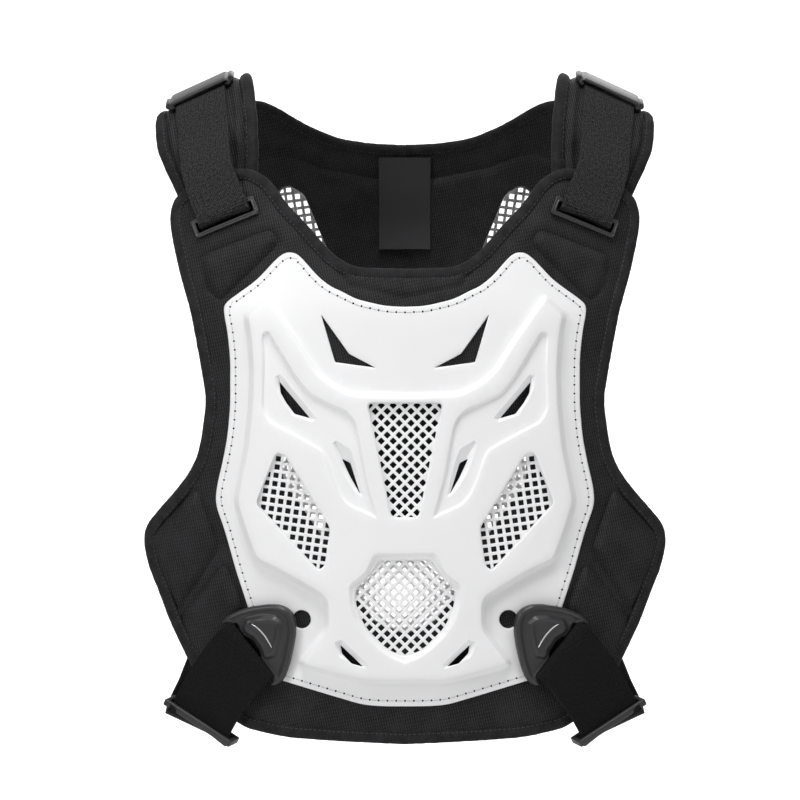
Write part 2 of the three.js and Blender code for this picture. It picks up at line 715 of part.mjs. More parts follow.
// Back plate: slanted windows behind the neck, side windows, and a shield-shaped one at the waist.
const backPlateRows = [
  { across: 0, down: 0.111 }, { across: 0.3, down: 0.1 }, { across: 0.52, down: 0.054 },
  { across: 0.69, down: 0.01 }, { across: 0.79, down: 0 }, { across: 0.885, down: 0.014 },
  { across: 0.96, down: 0.06 }, { across: 1, down: 0.15 }, { across: 0.95, down: 0.3 },
  { across: 0.92, down: 0.42 }, { across: 0.98, down: 0.56 }, { across: 0.93, down: 0.72 },
  { across: 0.78, down: 0.93 }, { across: 0.35, down: 1 }, { across: 0, down: 1 },
];
const backRaisedRows = [
  { across: 0, down: 0.151 }, { across: 0.31, down: 0.14 }, { across: 0.55, down: 0.09 },
  { across: 0.71, down: 0.04 }, { across: 0.78, down: 0.033 }, { across: 0.845, down: 0.045 },
  { across: 0.89, down: 0.081 }, { across: 0.91, down: 0.16 }, { across: 0.855, down: 0.3 },
  { across: 0.82, down: 0.42 }, { across: 0.88, down: 0.56 }, { across: 0.84, down: 0.7 },
  { across: 0.7, down: 0.89 }, { across: 0.32, down: 0.955 }, { across: 0, down: 0.955 },
];
const backSlantedWindow = [
  { across: 0.8, down: 0.056 }, { across: 0.73, down: 0.048 }, { across: 0.64, down: 0.066 },
  { across: 0.44, down: 0.21 }, { across: 0.46, down: 0.27 }, { across: 0.58, down: 0.3 },
  { across: 0.79, down: 0.2 },
];
const backSideWindow = [
  { across: 0.8, down: 0.52 }, { across: 0.69, down: 0.51 }, { across: 0.49, down: 0.68 },
  { across: 0.53, down: 0.74 }, { across: 0.78, down: 0.63 },
];
const backShieldWindow = [
  { across: 0, down: 0.75 }, { across: 0.24, down: 0.75 }, { across: 0.33, down: 0.79 },
  { across: 0.33, down: 0.85 }, { across: 0.2, down: 0.91 }, { across: 0, down: 0.935 },
];
const backSides = mirrorAll([backSlantedWindow, backSideWindow].map(onBackPlate));
const backShield = wholeOutline(backShieldWindow, backPlateHalf, backPlateTop, backPlateHeight);
const backWindows = [
  { outline: backShield, turn: 45 },
  ...backSides.map((outline, i) => ({ outline, turn: i % 2 ? -8 : 8 })),
];
add('back_plate', bend(mouldedPlate({
  side: 1,
  outline: wholeOutline(backPlateRows, backPlateHalf, backPlateTop, backPlateHeight),
  raised: wholeOutline(backRaisedRows, backPlateHalf, backPlateTop, backPlateHeight),
  channels: [],
  vents: [],
  windows: backWindows,
}), rear), 'plate');
add('back_panel', bend(paddedPanel({
  outline: backOutline,
  side: 1,
  pads: [],
  holes: backWindows.map((w) => w.outline),
}), rear), 'padding');
add('back_edge_tape', bend(tapeRound(backOutline), rear), 'tape');

// The direction across a piece that lies on a panel, with its inner end `tilt` degrees high.
function acrossPanel(surface, x, z, tilt) {
  const way = new THREE.Vector2(Math.cos(radians(tilt)), -Math.sin(radians(tilt)));
  return new THREE.Vector3(way.x, slopeOf(surface, x, z, way, strapWidth / 2), way.y).normalize();
}

// Shoulder pad: an arch from behind the front lobes, over the shoulder, to the outside of the back.
const padOut = foam / 2 + strapWall + padThickness / 2 + padClear;
const backOut = foam / 2 + padThickness / 2 + 1.2 * padClear;
const archRows = [
  { on: front, across: 0.69, down: 0.115, offset: padOut, wide: 0.68, tilt: 18 },
  { on: front, across: 0.72, down: 0.02, offset: padOut + padClear / 2, wide: 0.84, tilt: 20 },
  { forward: 0.35, across: 0.76, height: -1.4, wide: 1, tilt: 23, turn: -12 },
  { forward: 0.19, across: 0.776, height: 0.4, wide: 1, tilt: 25, turn: -6 },
  { forward: 0, across: 0.78, height: 1, wide: 0.95, tilt: 25, turn: 0 },
  { forward: -0.24, across: 0.78, height: 0.85, wide: 0.93, tilt: 25, turn: 14 },
  { on: rear, across: 0.865, down: 0.045, offset: backOut + 1.65 * padClear, wide: 0.9, tilt: 24 },
  { on: rear, across: 0.855, down: 0.105, offset: backOut + 0.8 * padClear, wide: 0.84, tilt: 20 },
  { on: rear, across: 0.84, down: 0.175, offset: backOut, wide: 0.76, tilt: 17 },
].map((row) => {
  if (row.on) {
    const [half, top, height] = row.on === front
      ? [panelHalf, panelTop, panelHeight] : [backHalf, backTop, backHeight];
    const [x, z] = [row.across * half, top - row.down * height];
    return {
      point: onPanel(row.on, x, z, row.offset),
      across: acrossPanel(row.on, x, z, row.tilt),
      half: row.wide * padHalf,
    };
  }
  const turn = radians(row.turn);
  return {
    point: new THREE.Vector3(
      row.across * panelHalf, -row.forward * chestDepth, row.height * ridgeHeight,
    ),
    across: new THREE.Vector3(Math.cos(turn), -Math.sin(turn), -Math.tan(radians(row.tilt))).normalize(),
    half: row.wide * padHalf,
  };
});
const archSteps = 16;
const arch = sectionsAlong(archRows, archSteps);
addPair('shoulder_pad', skin(arch.map((section) => {
  const [edge, full] = [section.half, section.half - padBand];
  const [thin, thick] = [padEdge / 2, padThickness / 2];
  return [
    [-edge, -thin], [-full, -thick], [full, -thick], [edge, -thin],
    [edge, thin], [full, thick], [-full, thick], [-edge, thin],
  ].map(([u, v]) => inSection(section, u, v));
})), 'padding');

// Edge tape round a shoulder pad: up one side, across the end, down the other side and back.
function tapeRoundArch(sections) {
  const height = padEdge / 2;
  const wall = [[gap, -1], [gap + tapeWall, -1], [gap + tapeWall, 1], [gap, 1]];
  const ringOf = (section, side, end) => wall.map(
    ([out, v]) => inSection(section, side * (section.half + out), v * height, end * out),
  );
  const last = sections.length - 1;
  const endOf = (i) => (i === 0 ? -1 : Number(i === last));
  return skin([
    ...sections.map((section, i) => ringOf(section, 1, endOf(i))),
    ...sections.map((section, i) => ringOf(section, -1, endOf(i))).reverse(),
  ], true);
}
addPair('shoulder_tape', tapeRoundArch(arch), 'tape');

// Shoulder strap: from the back panel, over the pad, down in front of the lobe and through the slot.
const strapHalf = strapWidth / 2;
const strapLift = padThickness / 2 + strapEase + strapWall / 2;
const onArch = arch.map((section) => lifted(section, strapLift, strapHalf));
const leavesPad = Math.round(0.27 * archSteps);   // where the strap leaves the pad in front
const backRow = (down, offset) => {
  const [x, z] = [0.84 * backHalf, backTop - down * backHeight];
  return { point: onPanel(rear, x, z, offset), across: acrossPanel(rear, x, z, 15), half: strapHalf };
};
const slotUp = new THREE.Vector2(Math.sin(radians(frameTilt)), Math.cos(radians(frameTilt)));
const slotRow = (up, offset) => {
  const [x, z] = [slotCentre.x + up * slotUp.x, slotCentre.z + up * slotUp.y];
  return {
    point: onPanel(front, x, z, offset),
    across: acrossPanel(front, x, z, frameTilt),
    half: strapHalf,
  };
};
const strapOut = foam / 2 + gap + strapWall / 2;
const strapFront = strapOut + gap + frameWall;
const behindPad = [
  backRow(0.262, strapOut + strapEase), backRow(0.225, strapOut + strapEase),
  backRow(0.19, backOut + strapLift - 2), onArch.at(-1),
];
// Heights above the slot's middle are shares of the frame's height.
const throughSlot = [
  onArch[leavesPad],
  slotRow(2.57 * frameHeight, -strapOut - 2),
  slotRow(frameHeight, -strapFront),
  slotRow(0.37 * frameHeight, -strapFront - gap),
  slotRow(0.07 * frameHeight, 2 - strapFront),
  slotRow(-0.03 * frameHeight, 0),
  slotRow(0.085 * frameHeight, strapOut + gap),
  slotRow(0.57 * frameHeight, strapOut + gap),
  slotRow(2.14 * frameHeight, strapOut + gap),
];
const strapSections = [
  ...sectionsAlong(behindPad, 6).slice(0, -1),
  ...backwards(onArch.slice(leavesPad)),
  ...sectionsAlong(throughSlot, 20).slice(1),
];
addPair('shoulder_strap', webbing(strapSections, strapWall), 'webbing');

// Shoulder clip: a low bridge over the strap on the ridge of the pad.
const clipAt = Math.round(0.46 * archSteps);
const tunnel = strapHalf + 3 * gap;
const legTop = strapEase + strapWall + gap;
const clipTop = legTop + clipWall;
const clipEdge = clipLength / 2;
addPair('shoulder_clip', drawnOut(lifted(arch[clipAt], padThickness / 2, 0), [
  [-clipEdge, gap], [-tunnel, gap], [-tunnel, legTop], [tunnel, legTop], [tunnel, gap], [clipEdge, gap],
  [clipEdge, 0.6 * clipTop], [clipEdge - clipWall, clipTop], [-clipEdge + clipWall, clipTop],
  [-clipEdge, 0.6 * clipTop],
], -clipWidth / 2, clipWidth / 2), 'moulding');

// Side buckle, drawn along its outer edge: `along` is a share of the strap's width from its middle,
// `in` a share of the buckle's reach towards the plate.
const buckleRows = [
  { along: 0.58, in: 0 }, { along: 0.58, in: 0.15 }, { along: 0.545, in: 0.385 },
  { along: 0.385, in: 0.715 }, { along: 0.245, in: 0.915 }, { along: 0.11, in: 1 },
  { along: -0.045, in: 1 }, { along: -0.225, in: 0.885 }, { along: -0.435, in: 0.595 },
  { along: -0.61, in: 0.285 }, { along: -0.635, in: 0.07 }, { along: -0.58, in: 0 },
];
const inlayRows = [
  { along: 0.26, in: 0.36 }, { along: 0.08, in: 0.8 }, { along: -0.24, in: 0.46 },
];
const ofBuckle = (rows) => rows.map((row) => ({ x: row.along * sideWidth, z: row.in * buckleReach }));
const buckleOutline = ofBuckle(buckleRows);
const buckleBack = -(foam / 2 + gap + plateWall + gap + buckleSeat);
const buckleFront = buckleBack - buckleWall;

// The strap turns round the bar on a radius that clears the bar's corners.
const barTurn = Math.SQRT1_2 * barWall + gap + sideWall / 2;
const barMiddle = buckleBack - sideWall / 2 - barTurn;
const slotWide = barTurn - barWall / 2 + sideWall / 2 + 2 * gap;
const strip = (from, to, half) => [
  { x: -half, z: from }, { x: half, z: from }, { x: half, z: to }, { x: -half, z: to },
];
const slotLong = sideWidth / 2 + 4 * gap;
addPair('side_buckle', joined(
  cut(
    joined(
      prism(buckleOutline, buckleBack, buckleFront + 1),
      between(buckleOutline, buckleFront + 1, inset(buckleOutline, 1), buckleFront),
    ),
    prism(strip(buckleBar, buckleBar + slotWide, slotLong), buckleBack + 1, buckleFront - 1),
    prism(strip(-1, buckleBar + 1, slotLong), buckleBack + 1, barMiddle + barWall / 2),
    prism(strip(-1, buckleBar + 1, slotLong), buckleFront - 1, barMiddle - barWall / 2),
    between(inset(ofBuckle(inlayRows), 1.5), buckleFront + 1.5, ofBuckle(inlayRows), buckleFront - 1),
  ),
  prism(disc({ x: postAlong, z: postIn }, postRadius, 10), buckleBack - 1, -(foam / 2 + 4 * gap)),
).applyMatrix4(buckleFrame), 'moulding');

// Side strap: a rear layer up to the buckle, round its bar, down in front to the slider, then back
// under the wearer's arm to the outside of the back panel.
const sliderCentre = onFront([{ across: 0.773, down: 0.966 }])[0];
const sliderWay = new THREE.Vector2(0.906, 0.424).normalize();
const sideHalf = sideWidth / 2;
function sideRow(share, offset) {
  const x = buckleCentre.x + share * (sliderCentre.x - buckleCentre.x);
  const z = buckleCentre.z + share * (sliderCentre.z - buckleCentre.z);
  const way = edgeWay.clone().lerp(sliderWay, Math.min(share, 1)).normalize();
  const across = new THREE.Vector3(way.x, slopeOf(front, x, z, way, sideHalf / 2), way.y);
  return { point: onPanel(front, x, z, offset), across, half: sideHalf };
}
const atBuckle = (inwards, offset) => ({
  point: onBuckle(0, inwards, offset), across: alongEdge, half: sideHalf,
});
const rearOffset = -(foam / 2 + gap + sideWall / 2);
const layerStep = sideWall + 2 * gap;
const bulge = 1.8;              // the strap stands off the panel between buckle and slider
const straight = 0.8 * buckleBar;
const nearSlider = 0.9;         // the strap runs straight through the slider from here
const upToBuckle = [
  sideRow(1, rearOffset - 2 * gap),
  sideRow(nearSlider, rearOffset - 2 * gap),
  sideRow(0.6, rearOffset - bulge),
  atBuckle(-straight, barMiddle + barTurn),
  ...[-90, -45, 0, 45, 90].map((turn) => atBuckle(
    buckleBar - barWall / 2 + barTurn * Math.cos(radians(turn)),
    barMiddle - barTurn * Math.sin(radians(turn)),
  )),
];
const downToSlider = [
  atBuckle(-straight, barMiddle - barTurn),
  sideRow(0.6, rearOffset - bulge - layerStep),
  sideRow(nearSlider, rearOffset - 2 * gap - layerStep),
  sideRow(1, rearOffset - 2 * gap - layerStep),
];
// The free run under the arm, as shares of the front panel's half width, depth and height.
const underArm = [
  { across: 0.813, forward: 0.61, down: 1.007, way: [0.9, 0, 0.42] },
  { across: 0.823, forward: 0.343, down: 1.007, way: [0.85, 0, 0.5] },
  { across: 0.859, forward: -0.076, down: 0.969, way: [0.6, 0, 0.8] },
  { across: 0.885, forward: -0.457, down: 0.911, way: [0.3, -0.1, 0.95] },
].map((row) => ({
  point: new THREE.Vector3(
    row.across * panelHalf, -row.forward * chestDepth, panelTop - row.down * panelHeight,
  ),
  across: new THREE.Vector3(...row.way),
  half: sideHalf,
}));
const onBackPanel = (across, down, clear, way) => ({
  point: onPanel(
    rear, across * backHalf, backTop - down * backHeight, foam / 2 + gap + sideWall + clear,
  ),
  across: new THREE.Vector3(...way),
  half: sideHalf,
});
const sideRows = [
  ...upToBuckle,
  ...downToSlider,
  sideRow(1.12, rearOffset - layerStep),
  ...underArm,
  onBackPanel(0.93, 0.905, 5 * gap, [0.12, 0, 1]),
  onBackPanel(0.8, 0.9, 0, [0.05, 0, 1]),
];
const sideSpans = sideRows.length - 1;
addPair('side_strap', webbing(sectionsAlong(sideRows, 2 * sideSpans), sideWall), 'webbing');

// Side slider: a ring round both layers of the strap where it folds back.
const inSlider = sectionsAlong(sideRows, sideSpans)[upToBuckle.length + downToSlider.length - 1];
const sliderSection = lifted(inSlider, layerStep / 2, 0);
const throat = { u: sideHalf + 4 * gap, v: layerStep / 2 + sideWall / 2 + 4 * gap };
const box = (u, v) => [[-u, -v], [u, -v], [u, v], [-u, v]];
addPair('side_slider', cut(
  drawnOut(
    sliderSection, box(throat.u + sliderBar, throat.v + 0.75 * sliderBar),
    -sliderDepth / 2, sliderDepth / 2,
  ),
  drawnOut(sliderSection, box(throat.u, throat.v), -sliderDepth, sliderDepth),
), 'moulding');

// Neck tag inside the back panel, below the neck tape.
const tagTop = backTop - backRows[0].down * backHeight - tapeWidth - 3 * gap;
const tagOutline = [[-1, 0], [1, 0], [1, 1], [-1, 1]]
  .map(([side, down]) => ({ x: side * tagWidth / 2, z: tagTop - down * tagHeight }));
const tagBack = -(foam / 2 + gap);
add('neck_tag', bend(prism(tagOutline, tagBack, tagBack - tagWall), rear), 'label');

export default vest;
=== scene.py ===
"""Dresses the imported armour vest: moulded plates with fine nets, padded mesh fabric, knitted
bindings, woven elastic and moulded fittings, on a white studio floor."""
import math

import bpy
import numpy as np
from bpy.props import FloatProperty, FloatVectorProperty, IntProperty, PointerProperty
from mathutils import Matrix, Vector, noise
from mathutils.geometry import delaunay_2d_cdt
from mathutils.kdtree import KDTree


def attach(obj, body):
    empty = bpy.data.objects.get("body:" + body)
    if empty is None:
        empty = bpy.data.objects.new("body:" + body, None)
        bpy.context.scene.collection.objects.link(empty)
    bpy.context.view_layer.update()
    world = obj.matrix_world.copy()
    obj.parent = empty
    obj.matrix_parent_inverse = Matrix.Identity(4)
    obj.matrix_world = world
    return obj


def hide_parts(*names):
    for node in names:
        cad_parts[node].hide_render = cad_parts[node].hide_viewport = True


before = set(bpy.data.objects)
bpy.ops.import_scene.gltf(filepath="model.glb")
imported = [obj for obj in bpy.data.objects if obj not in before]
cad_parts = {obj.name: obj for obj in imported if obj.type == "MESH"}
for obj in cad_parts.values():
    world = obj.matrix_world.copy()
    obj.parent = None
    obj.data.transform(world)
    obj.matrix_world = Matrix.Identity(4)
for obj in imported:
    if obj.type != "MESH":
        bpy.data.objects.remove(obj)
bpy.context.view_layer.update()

bl_info = {
    "name": "Armour vest",
    "version": (1, 0, 0),
    "blender": (4, 5, 0),
    "location": "View3D > Sidebar > Armour vest",
    "description": "Builds the dressed armour vest round its packed solids",
    "category": "Mesh",
}

# Flat drawings are in millimetres: x from the middle, z up from the shoulder rest. Heights are
# millimetres above the middle of a panel's foam, outwards.
MM = 0.001
# Points nearer than this, in metres, are one
MERGE = 2e-5
GAP = 0.3
FOAM = 9.0
HEM = 5.0
TAPE_WIDTH = 8.5
TAPE_WALL = 1.3
PLATE_WALL = 2.5
PLATE_RISE = 7.0
PLATE_SLOPE = 3.8
CHANNEL_DEPTH = 2.6
CHANNEL_SLOPE = 1.8
SHIELD_DEPTH = 3.0
SHIELD_SLOPE = 2.6
FACET_DEPTH = 4.2
SEAM_DEPTH = 0.22
SEAM_WIDTH = 0.9
GRILLE_DROP = 4.2
GRILLE_WALL = 2.0
PAD_THICKNESS = 10.0
STRAP_WALL = 1.6
SIDE_WALL = 2.2


def linear(code):
    """An sRGB hex value as a linear colour."""
    channels = [int(code[i:i + 2], 16) / 255 for i in (1, 3, 5)]
    return tuple(c / 12.92 if c <= 0.04045 else ((c + 0.055) / 1.055) ** 2.4 for c in channels)


def colour(name, text, code):
    return FloatVectorProperty(name=name, description=text, default=linear(code), subtype="COLOR")


def length(name, text, millimetres):
    return FloatProperty(name=name, description=text, default=millimetres * MM, unit="LENGTH")


class PlateSettings(bpy.types.PropertyGroup):
    """Sizes and colour of the moulded plates."""
    shade: colour("Plate colour", "White of the moulded plates", "#F3F3F4")
    lip: length("Lip radius", "Rounding of every moulded edge", 1.1)
    stitch_in: length("Stitch distance", "From the plate's edge to its row of stitches", 4.0)
    stitch_pitch: length("Stitch pitch", "From one needle hole to the next", 6.3)
    needle: length("Needle hole", "Radius of a needle hole", 0.8)
    net_pitch: length("Net pitch", "From one bar of a net to the next", 6.0)
    net_bar: length("Net bar", "Width of a net's bar", 2.2)


class PaddingSettings(bpy.types.PropertyGroup):
    """Sizes and colours of the padded pieces."""
    shade: colour("Mesh fabric", "Colour of the fabric's yarn", "#303032")
    ground: colour("Fabric ground", "Colour between the yarns", "#070708")
    binding: colour("Binding", "Colour of the knitted binding", "#333335")
    emboss: length("Emboss", "How far the moulded pads stand proud", 3.0)
    groove: length("Groove", "Depth of the pressed lines", 1.8)
    pucker: length("Pucker", "Depth of the binding's gathers", 0.35)


class WebbingSettings(bpy.types.PropertyGroup):
    """Sizes and colours of the straps."""
    shade: colour("Webbing", "Colour of the woven elastic", "#222223")
    # The side straps use the same woven elastic as the shoulder straps, in a darker colour
    side_shade: colour("Side webbing", "Colour of the darkened side webbing", "#0C0C0D")
    rib: length("Rib spacing", "From one rib of the weave to the next", 1.5)
    steps: IntProperty(name="Steps", description="Cross-sections for each span", default=6, min=2)


class FittingSettings(bpy.types.PropertyGroup):
    """Sizes and colours of the moulded fittings and the tag."""
    shade: colour("Moulding", "Colour of the moulded fittings", "#333234")
    # The colour of the painted highlight, a bright line along the edge of each buckle's recess
    painted_highlight: colour("Painted_highlight", "Colour of the thin bright inlay", "#E9E9EA")
    tag: colour("Tag", "Colour of the satin tag", "#3A3A3C")
    round_edge: length("Edge radius", "Rounding of the fittings' edges", 0.7)


# Materials

# A wave pattern's spacing times its scale, because its sine runs 20 radians in a unit
BANDS = 0.314


def node(tree, kind, output, inputs=(), **settings):
    """Adds a shader node with its settings, sets or links its inputs, and gives its output."""
    made = tree.nodes.new(kind)
    for key, value in settings.items():
        setattr(made, key, value)
    for key, value in inputs.items() if isinstance(inputs, dict) else enumerate(inputs):
        if isinstance(value, bpy.types.NodeSocket):
            tree.links.new(value, made.inputs[key])
        else:
            made.inputs[key].default_value = value
    return made.outputs[output]


def feed(shader, **outputs):
    """Links outputs to the shader's sockets."""
    for key, output in outputs.items():
        shader.id_data.links.new(output, shader.inputs[key.replace("_", " ")])


def shaded(shade, share=1.0):
    """A colour made darker or lighter by a share, with its alpha."""
    return (*(min(1.0, c * share) for c in shade[:3]), 1.0)


def start_material(name, **sockets):
    """A principled material, its tree and its shader, with the given plain socket values."""
    made = bpy.data.materials.new(name)
    made.use_nodes = True
    tree = made.node_tree
    shader = tree.nodes["Principled BSDF"]
    for key, value in sockets.items():
        shader.inputs[key.replace("_", " ")].default_value = value
    return made, tree, shader


def moulded_polypropylene(settings):
    """White polypropylene from a fine-grained mould: an even satin gloss, with a faint orange
    peel that breaks up the reflections of the lights."""
    made, tree, shader = start_material(
        "moulded_polypropylene", Roughness=0.42, IOR=1.49, Specular_IOR_Level=0.42,
    )
    place = node(tree, "ShaderNodeTexCoord", "Object")
    peel = node(tree, "ShaderNodeTexNoise", "Fac", {"Vector": place, "Scale": 1 / (3.0 * MM), "Detail": 3.0})
    grain = node(tree, "ShaderNodeTexNoise", "Fac", {"Vector": place, "Scale": 1 / (0.7 * MM), "Detail": 1.0})
    cloud = node(tree, "ShaderNodeTexNoise", "Fac", {"Vector": place, "Scale": 1 / (70 * MM), "Detail": 2.0})
    tint = node(tree, "ShaderNodeMix", "Result", {
        "Factor": cloud, "A": shaded(settings.shade, 0.965), "B": shaded(settings.shade),
    }, data_type="RGBA")
    gloss = node(tree, "ShaderNodeMapRange", "Result", (grain, 0.3, 0.7, 0.36, 0.47))
    first = node(tree, "ShaderNodeBump", "Normal", {
        "Height": peel, "Strength": 0.05, "Distance": 0.3 * MM,
    })
    second = node(tree, "ShaderNodeBump", "Normal", {
        "Height": grain, "Strength": 0.06, "Distance": 0.1 * MM, "Normal": first,
    })
    feed(shader, Base_Color=tint, Roughness=gloss, Normal=second)
    return made


def knitted_mesh(settings):
    """Warp-knitted polyester mesh over foam: fine raised wales with darker cells between them.
    The real wales stand about 1.1 mm apart. They are drawn 1.7 mm apart, so that they show."""
    made, tree, shader = start_material(
        "knitted_mesh", Roughness=0.62, Sheen_Weight=0.02, Sheen_Roughness=0.4,
        Specular_IOR_Level=0.22,
    )
    wale = 1.7 * MM
    place = node(tree, "ShaderNodeTexCoord", "Object")
    drift = node(tree, "ShaderNodeTexNoise", "Fac", {"Vector": place, "Scale": 1 / (18 * MM), "Detail": 2.0})
    fuzz = node(tree, "ShaderNodeTexNoise", "Fac", {"Vector": place, "Scale": 1 / (0.9 * MM), "Detail": 2.0})
    leaning = node(tree, "ShaderNodeMapping", "Vector", {
        "Vector": place, "Rotation": (0, math.radians(12), 0),
    })
    up, across = (
        node(tree, "ShaderNodeTexWave", "Fac", {
            "Vector": leaning, "Scale": BANDS / spacing, "Distortion": waver, "Detail": 1.0,
            "Detail Scale": 1.5,
        }, bands_direction=axis)
        for axis, spacing, waver in (("X", wale, 0.6), ("Z", 1.5 * wale, 1.0))
    )
    cells = node(tree, "ShaderNodeMath", "Value", (up, across), operation="MULTIPLY")
    knit = node(tree, "ShaderNodeMath", "Value", (cells, up), operation="ADD")
    loose = node(tree, "ShaderNodeMapRange", "Result", (fuzz, 0.3, 0.7, -0.25, 0.35))
    yarn = node(tree, "ShaderNodeMath", "Value", (knit, loose), operation="ADD")
    fade = node(tree, "ShaderNodeMapRange", "Result", (drift, 0.35, 0.65, -0.2, 0.25))
    worn = node(tree, "ShaderNodeMath", "Value", (yarn, fade), operation="ADD")
    tone = node(tree, "ShaderNodeMapRange", "Result", (worn, 0.0, 1.7, 0.0, 1.0))
    tint = node(tree, "ShaderNodeMix", "Result", {
        "Factor": tone, "A": shaded(settings.ground), "B": shaded(settings.shade),
    }, data_type="RGBA")
    bump = node(tree, "ShaderNodeBump", "Normal", {
        "Height": yarn, "Strength": 0.55, "Distance": 0.35 * MM,
    })
    feed(shader, Base_Color=tint, Normal=bump)
    return made


def knitted_binding(settings):
    """Knitted stretch binding: matt, a little lighter than the fabric where it is pulled tight,
    with fine ribs across the tape."""
    made, tree, shader = start_material(
        "knitted_binding", Roughness=0.88, Sheen_Weight=0.06, Sheen_Roughness=0.35,
        Specular_IOR_Level=0.2,
    )
    place = node(tree, "ShaderNodeTexCoord", "Object")
    along = node(tree, "ShaderNodeUVMap", "UV")
    ribs = node(tree, "ShaderNodeTexWave", "Fac", {
        "Vector": along, "Scale": BANDS / 1.3, "Distortion": 0.8, "Detail": 1.0,
    }, bands_direction="Y")
    fuzz = node(tree, "ShaderNodeTexNoise", "Fac", {"Vector": place, "Scale": 1 / (0.7 * MM), "Detail": 2.0})
    gathers = node(tree, "ShaderNodeTexNoise", "Fac", {"Vector": place, "Scale": 1 / (7 * MM), "Detail": 2.0})
    knit = node(tree, "ShaderNodeMath", "Value", (ribs, fuzz), operation="ADD")
    rise = node(tree, "ShaderNodeMapRange", "Result", (knit, 0.4, 1.6, 0.0, 1.0))
    pull = node(tree, "ShaderNodeMapRange", "Result", (gathers, 0.35, 0.68, 0.35, 1.1))
    tone = node(tree, "ShaderNodeMath", "Value", (rise, pull), operation="MULTIPLY")
    tint = node(tree, "ShaderNodeMix", "Result", {
        "Factor": tone, "A": shaded(settings.binding, 0.28), "B": shaded(settings.binding),
    }, data_type="RGBA")
    bump = node(tree, "ShaderNodeBump", "Normal", {
        "Height": knit, "Strength": 0.4, "Distance": 0.25 * MM,
    })
    feed(shader, Base_Color=tint, Normal=bump)
    return made


def woven_elastic(name, settings, shade):
    """Woven elastic webbing: matt black yarn whose short floats give a fine speckle, with ribs
    across the band. The real yarns lie 0.8 mm apart. They are drawn at 1.5 mm, so that they show."""
    made, tree, shader = start_material(
        name, Roughness=0.86, Sheen_Weight=0.03, Specular_IOR_Level=0.18,
    )
    along = node(tree, "ShaderNodeUVMap", "UV")
    rib = settings.rib / MM
    ribs, ends = (
        node(tree, "ShaderNodeTexWave", "Fac", {
            "Vector": along, "Scale": BANDS / spacing, "Distortion": waver, "Detail": 1.0,
        }, bands_direction=axis)
        for axis, spacing, waver in (("Y", rib, 1.2), ("X", 0.9 * rib, 1.5))
    )
    floats = node(tree, "ShaderNodeTexNoise", "Fac", {"Vector": along, "Scale": 1 / 1.5, "Detail": 2.5})
    weave = node(tree, "ShaderNodeMath", "Value", (ribs, ends), operation="MULTIPLY")
    speckle = node(tree, "ShaderNodeMapRange", "Result", (floats, 0.3, 0.7, 0.0, 1.0))
    yarn = node(tree, "ShaderNodeMath", "Value", (weave, speckle), operation="ADD")
    tone = node(tree, "ShaderNodeMapRange", "Result", (yarn, 0.25, 1.45, 0.0, 1.0))
    tint = node(tree, "ShaderNodeMix", "Result", {
        "Factor": tone, "A": shaded(shade, 0.15), "B": shaded(shade, 3.0),
    }, data_type="RGBA")
    bump = node(tree, "ShaderNodeBump", "Normal", {
        "Height": yarn, "Strength": 0.5, "Distance": 0.25 * MM,
    })
    feed(shader, Base_Color=tint, Normal=bump)
    return made


def grained_acetal(settings):
    """Acetal from a spark-eroded mould: near black, with a soft sheen over a fine even grain."""
    made, tree, shader = start_material("grained_acetal", IOR=1.48, Specular_IOR_Level=0.5)
    place = node(tree, "ShaderNodeTexCoord", "Object")
    grain = node(tree, "ShaderNodeTexNoise", "Fac", {"Vector": place, "Scale": 1 / (0.5 * MM), "Detail": 2.0})
    cloud = node(tree, "ShaderNodeTexNoise", "Fac", {"Vector": place, "Scale": 1 / (12 * MM), "Detail": 2.0})
    tint = node(tree, "ShaderNodeMix", "Result", {
        "Factor": cloud, "A": shaded(settings.shade, 0.75), "B": shaded(settings.shade),
    }, data_type="RGBA")
    gloss = node(tree, "ShaderNodeMapRange", "Result", (grain, 0.3, 0.7, 0.34, 0.48))
    bump = node(tree, "ShaderNodeBump", "Normal", {
        "Height": grain, "Strength": 0.12, "Distance": 0.1 * MM,
    })
    feed(shader, Base_Color=tint, Roughness=gloss, Normal=bump)
    return made


def painted_highlight_finish(settings):
    """A painted highlight: a thin, bright, smooth line along the edge of the buckle's recess, where the light
    catches it.
    """
    made, tree, shader = start_material("painted_highlight_finish", Roughness=0.28, Metallic=0.35)
    place = node(tree, "ShaderNodeTexCoord", "Object")
    # Uneven brightness along the painted highlight
    patchiness = node(tree, "ShaderNodeTexNoise", "Fac", {"Vector": place, "Scale": 1 / (2 * MM), "Detail": 3.0})
    tint = node(tree, "ShaderNodeMix", "Result", {
        "Factor": patchiness, "A": shaded(settings.painted_highlight, 0.8), "B": shaded(settings.painted_highlight),
    }, data_type="RGBA")
    feed(shader, Base_Color=tint)
    return made


def sewing_thread(name, code):
    """Bonded polyester sewing thread: a slight gloss, twisted from finer strands."""
    made, tree, shader = start_material(name, Roughness=0.55, Specular_IOR_Level=0.35)
    place = node(tree, "ShaderNodeTexCoord", "Object")
    strands = node(tree, "ShaderNodeTexNoise", "Fac", {
        "Vector": place, "Scale": 1 / (0.35 * MM), "Detail": 1.0,
    })
    tint = node(tree, "ShaderNodeMix", "Result", {
        "Factor": strands, "A": shaded(linear(code), 0.6), "B": shaded(linear(code)),
    }, data_type="RGBA")
    feed(shader, Base_Color=tint)
    return made


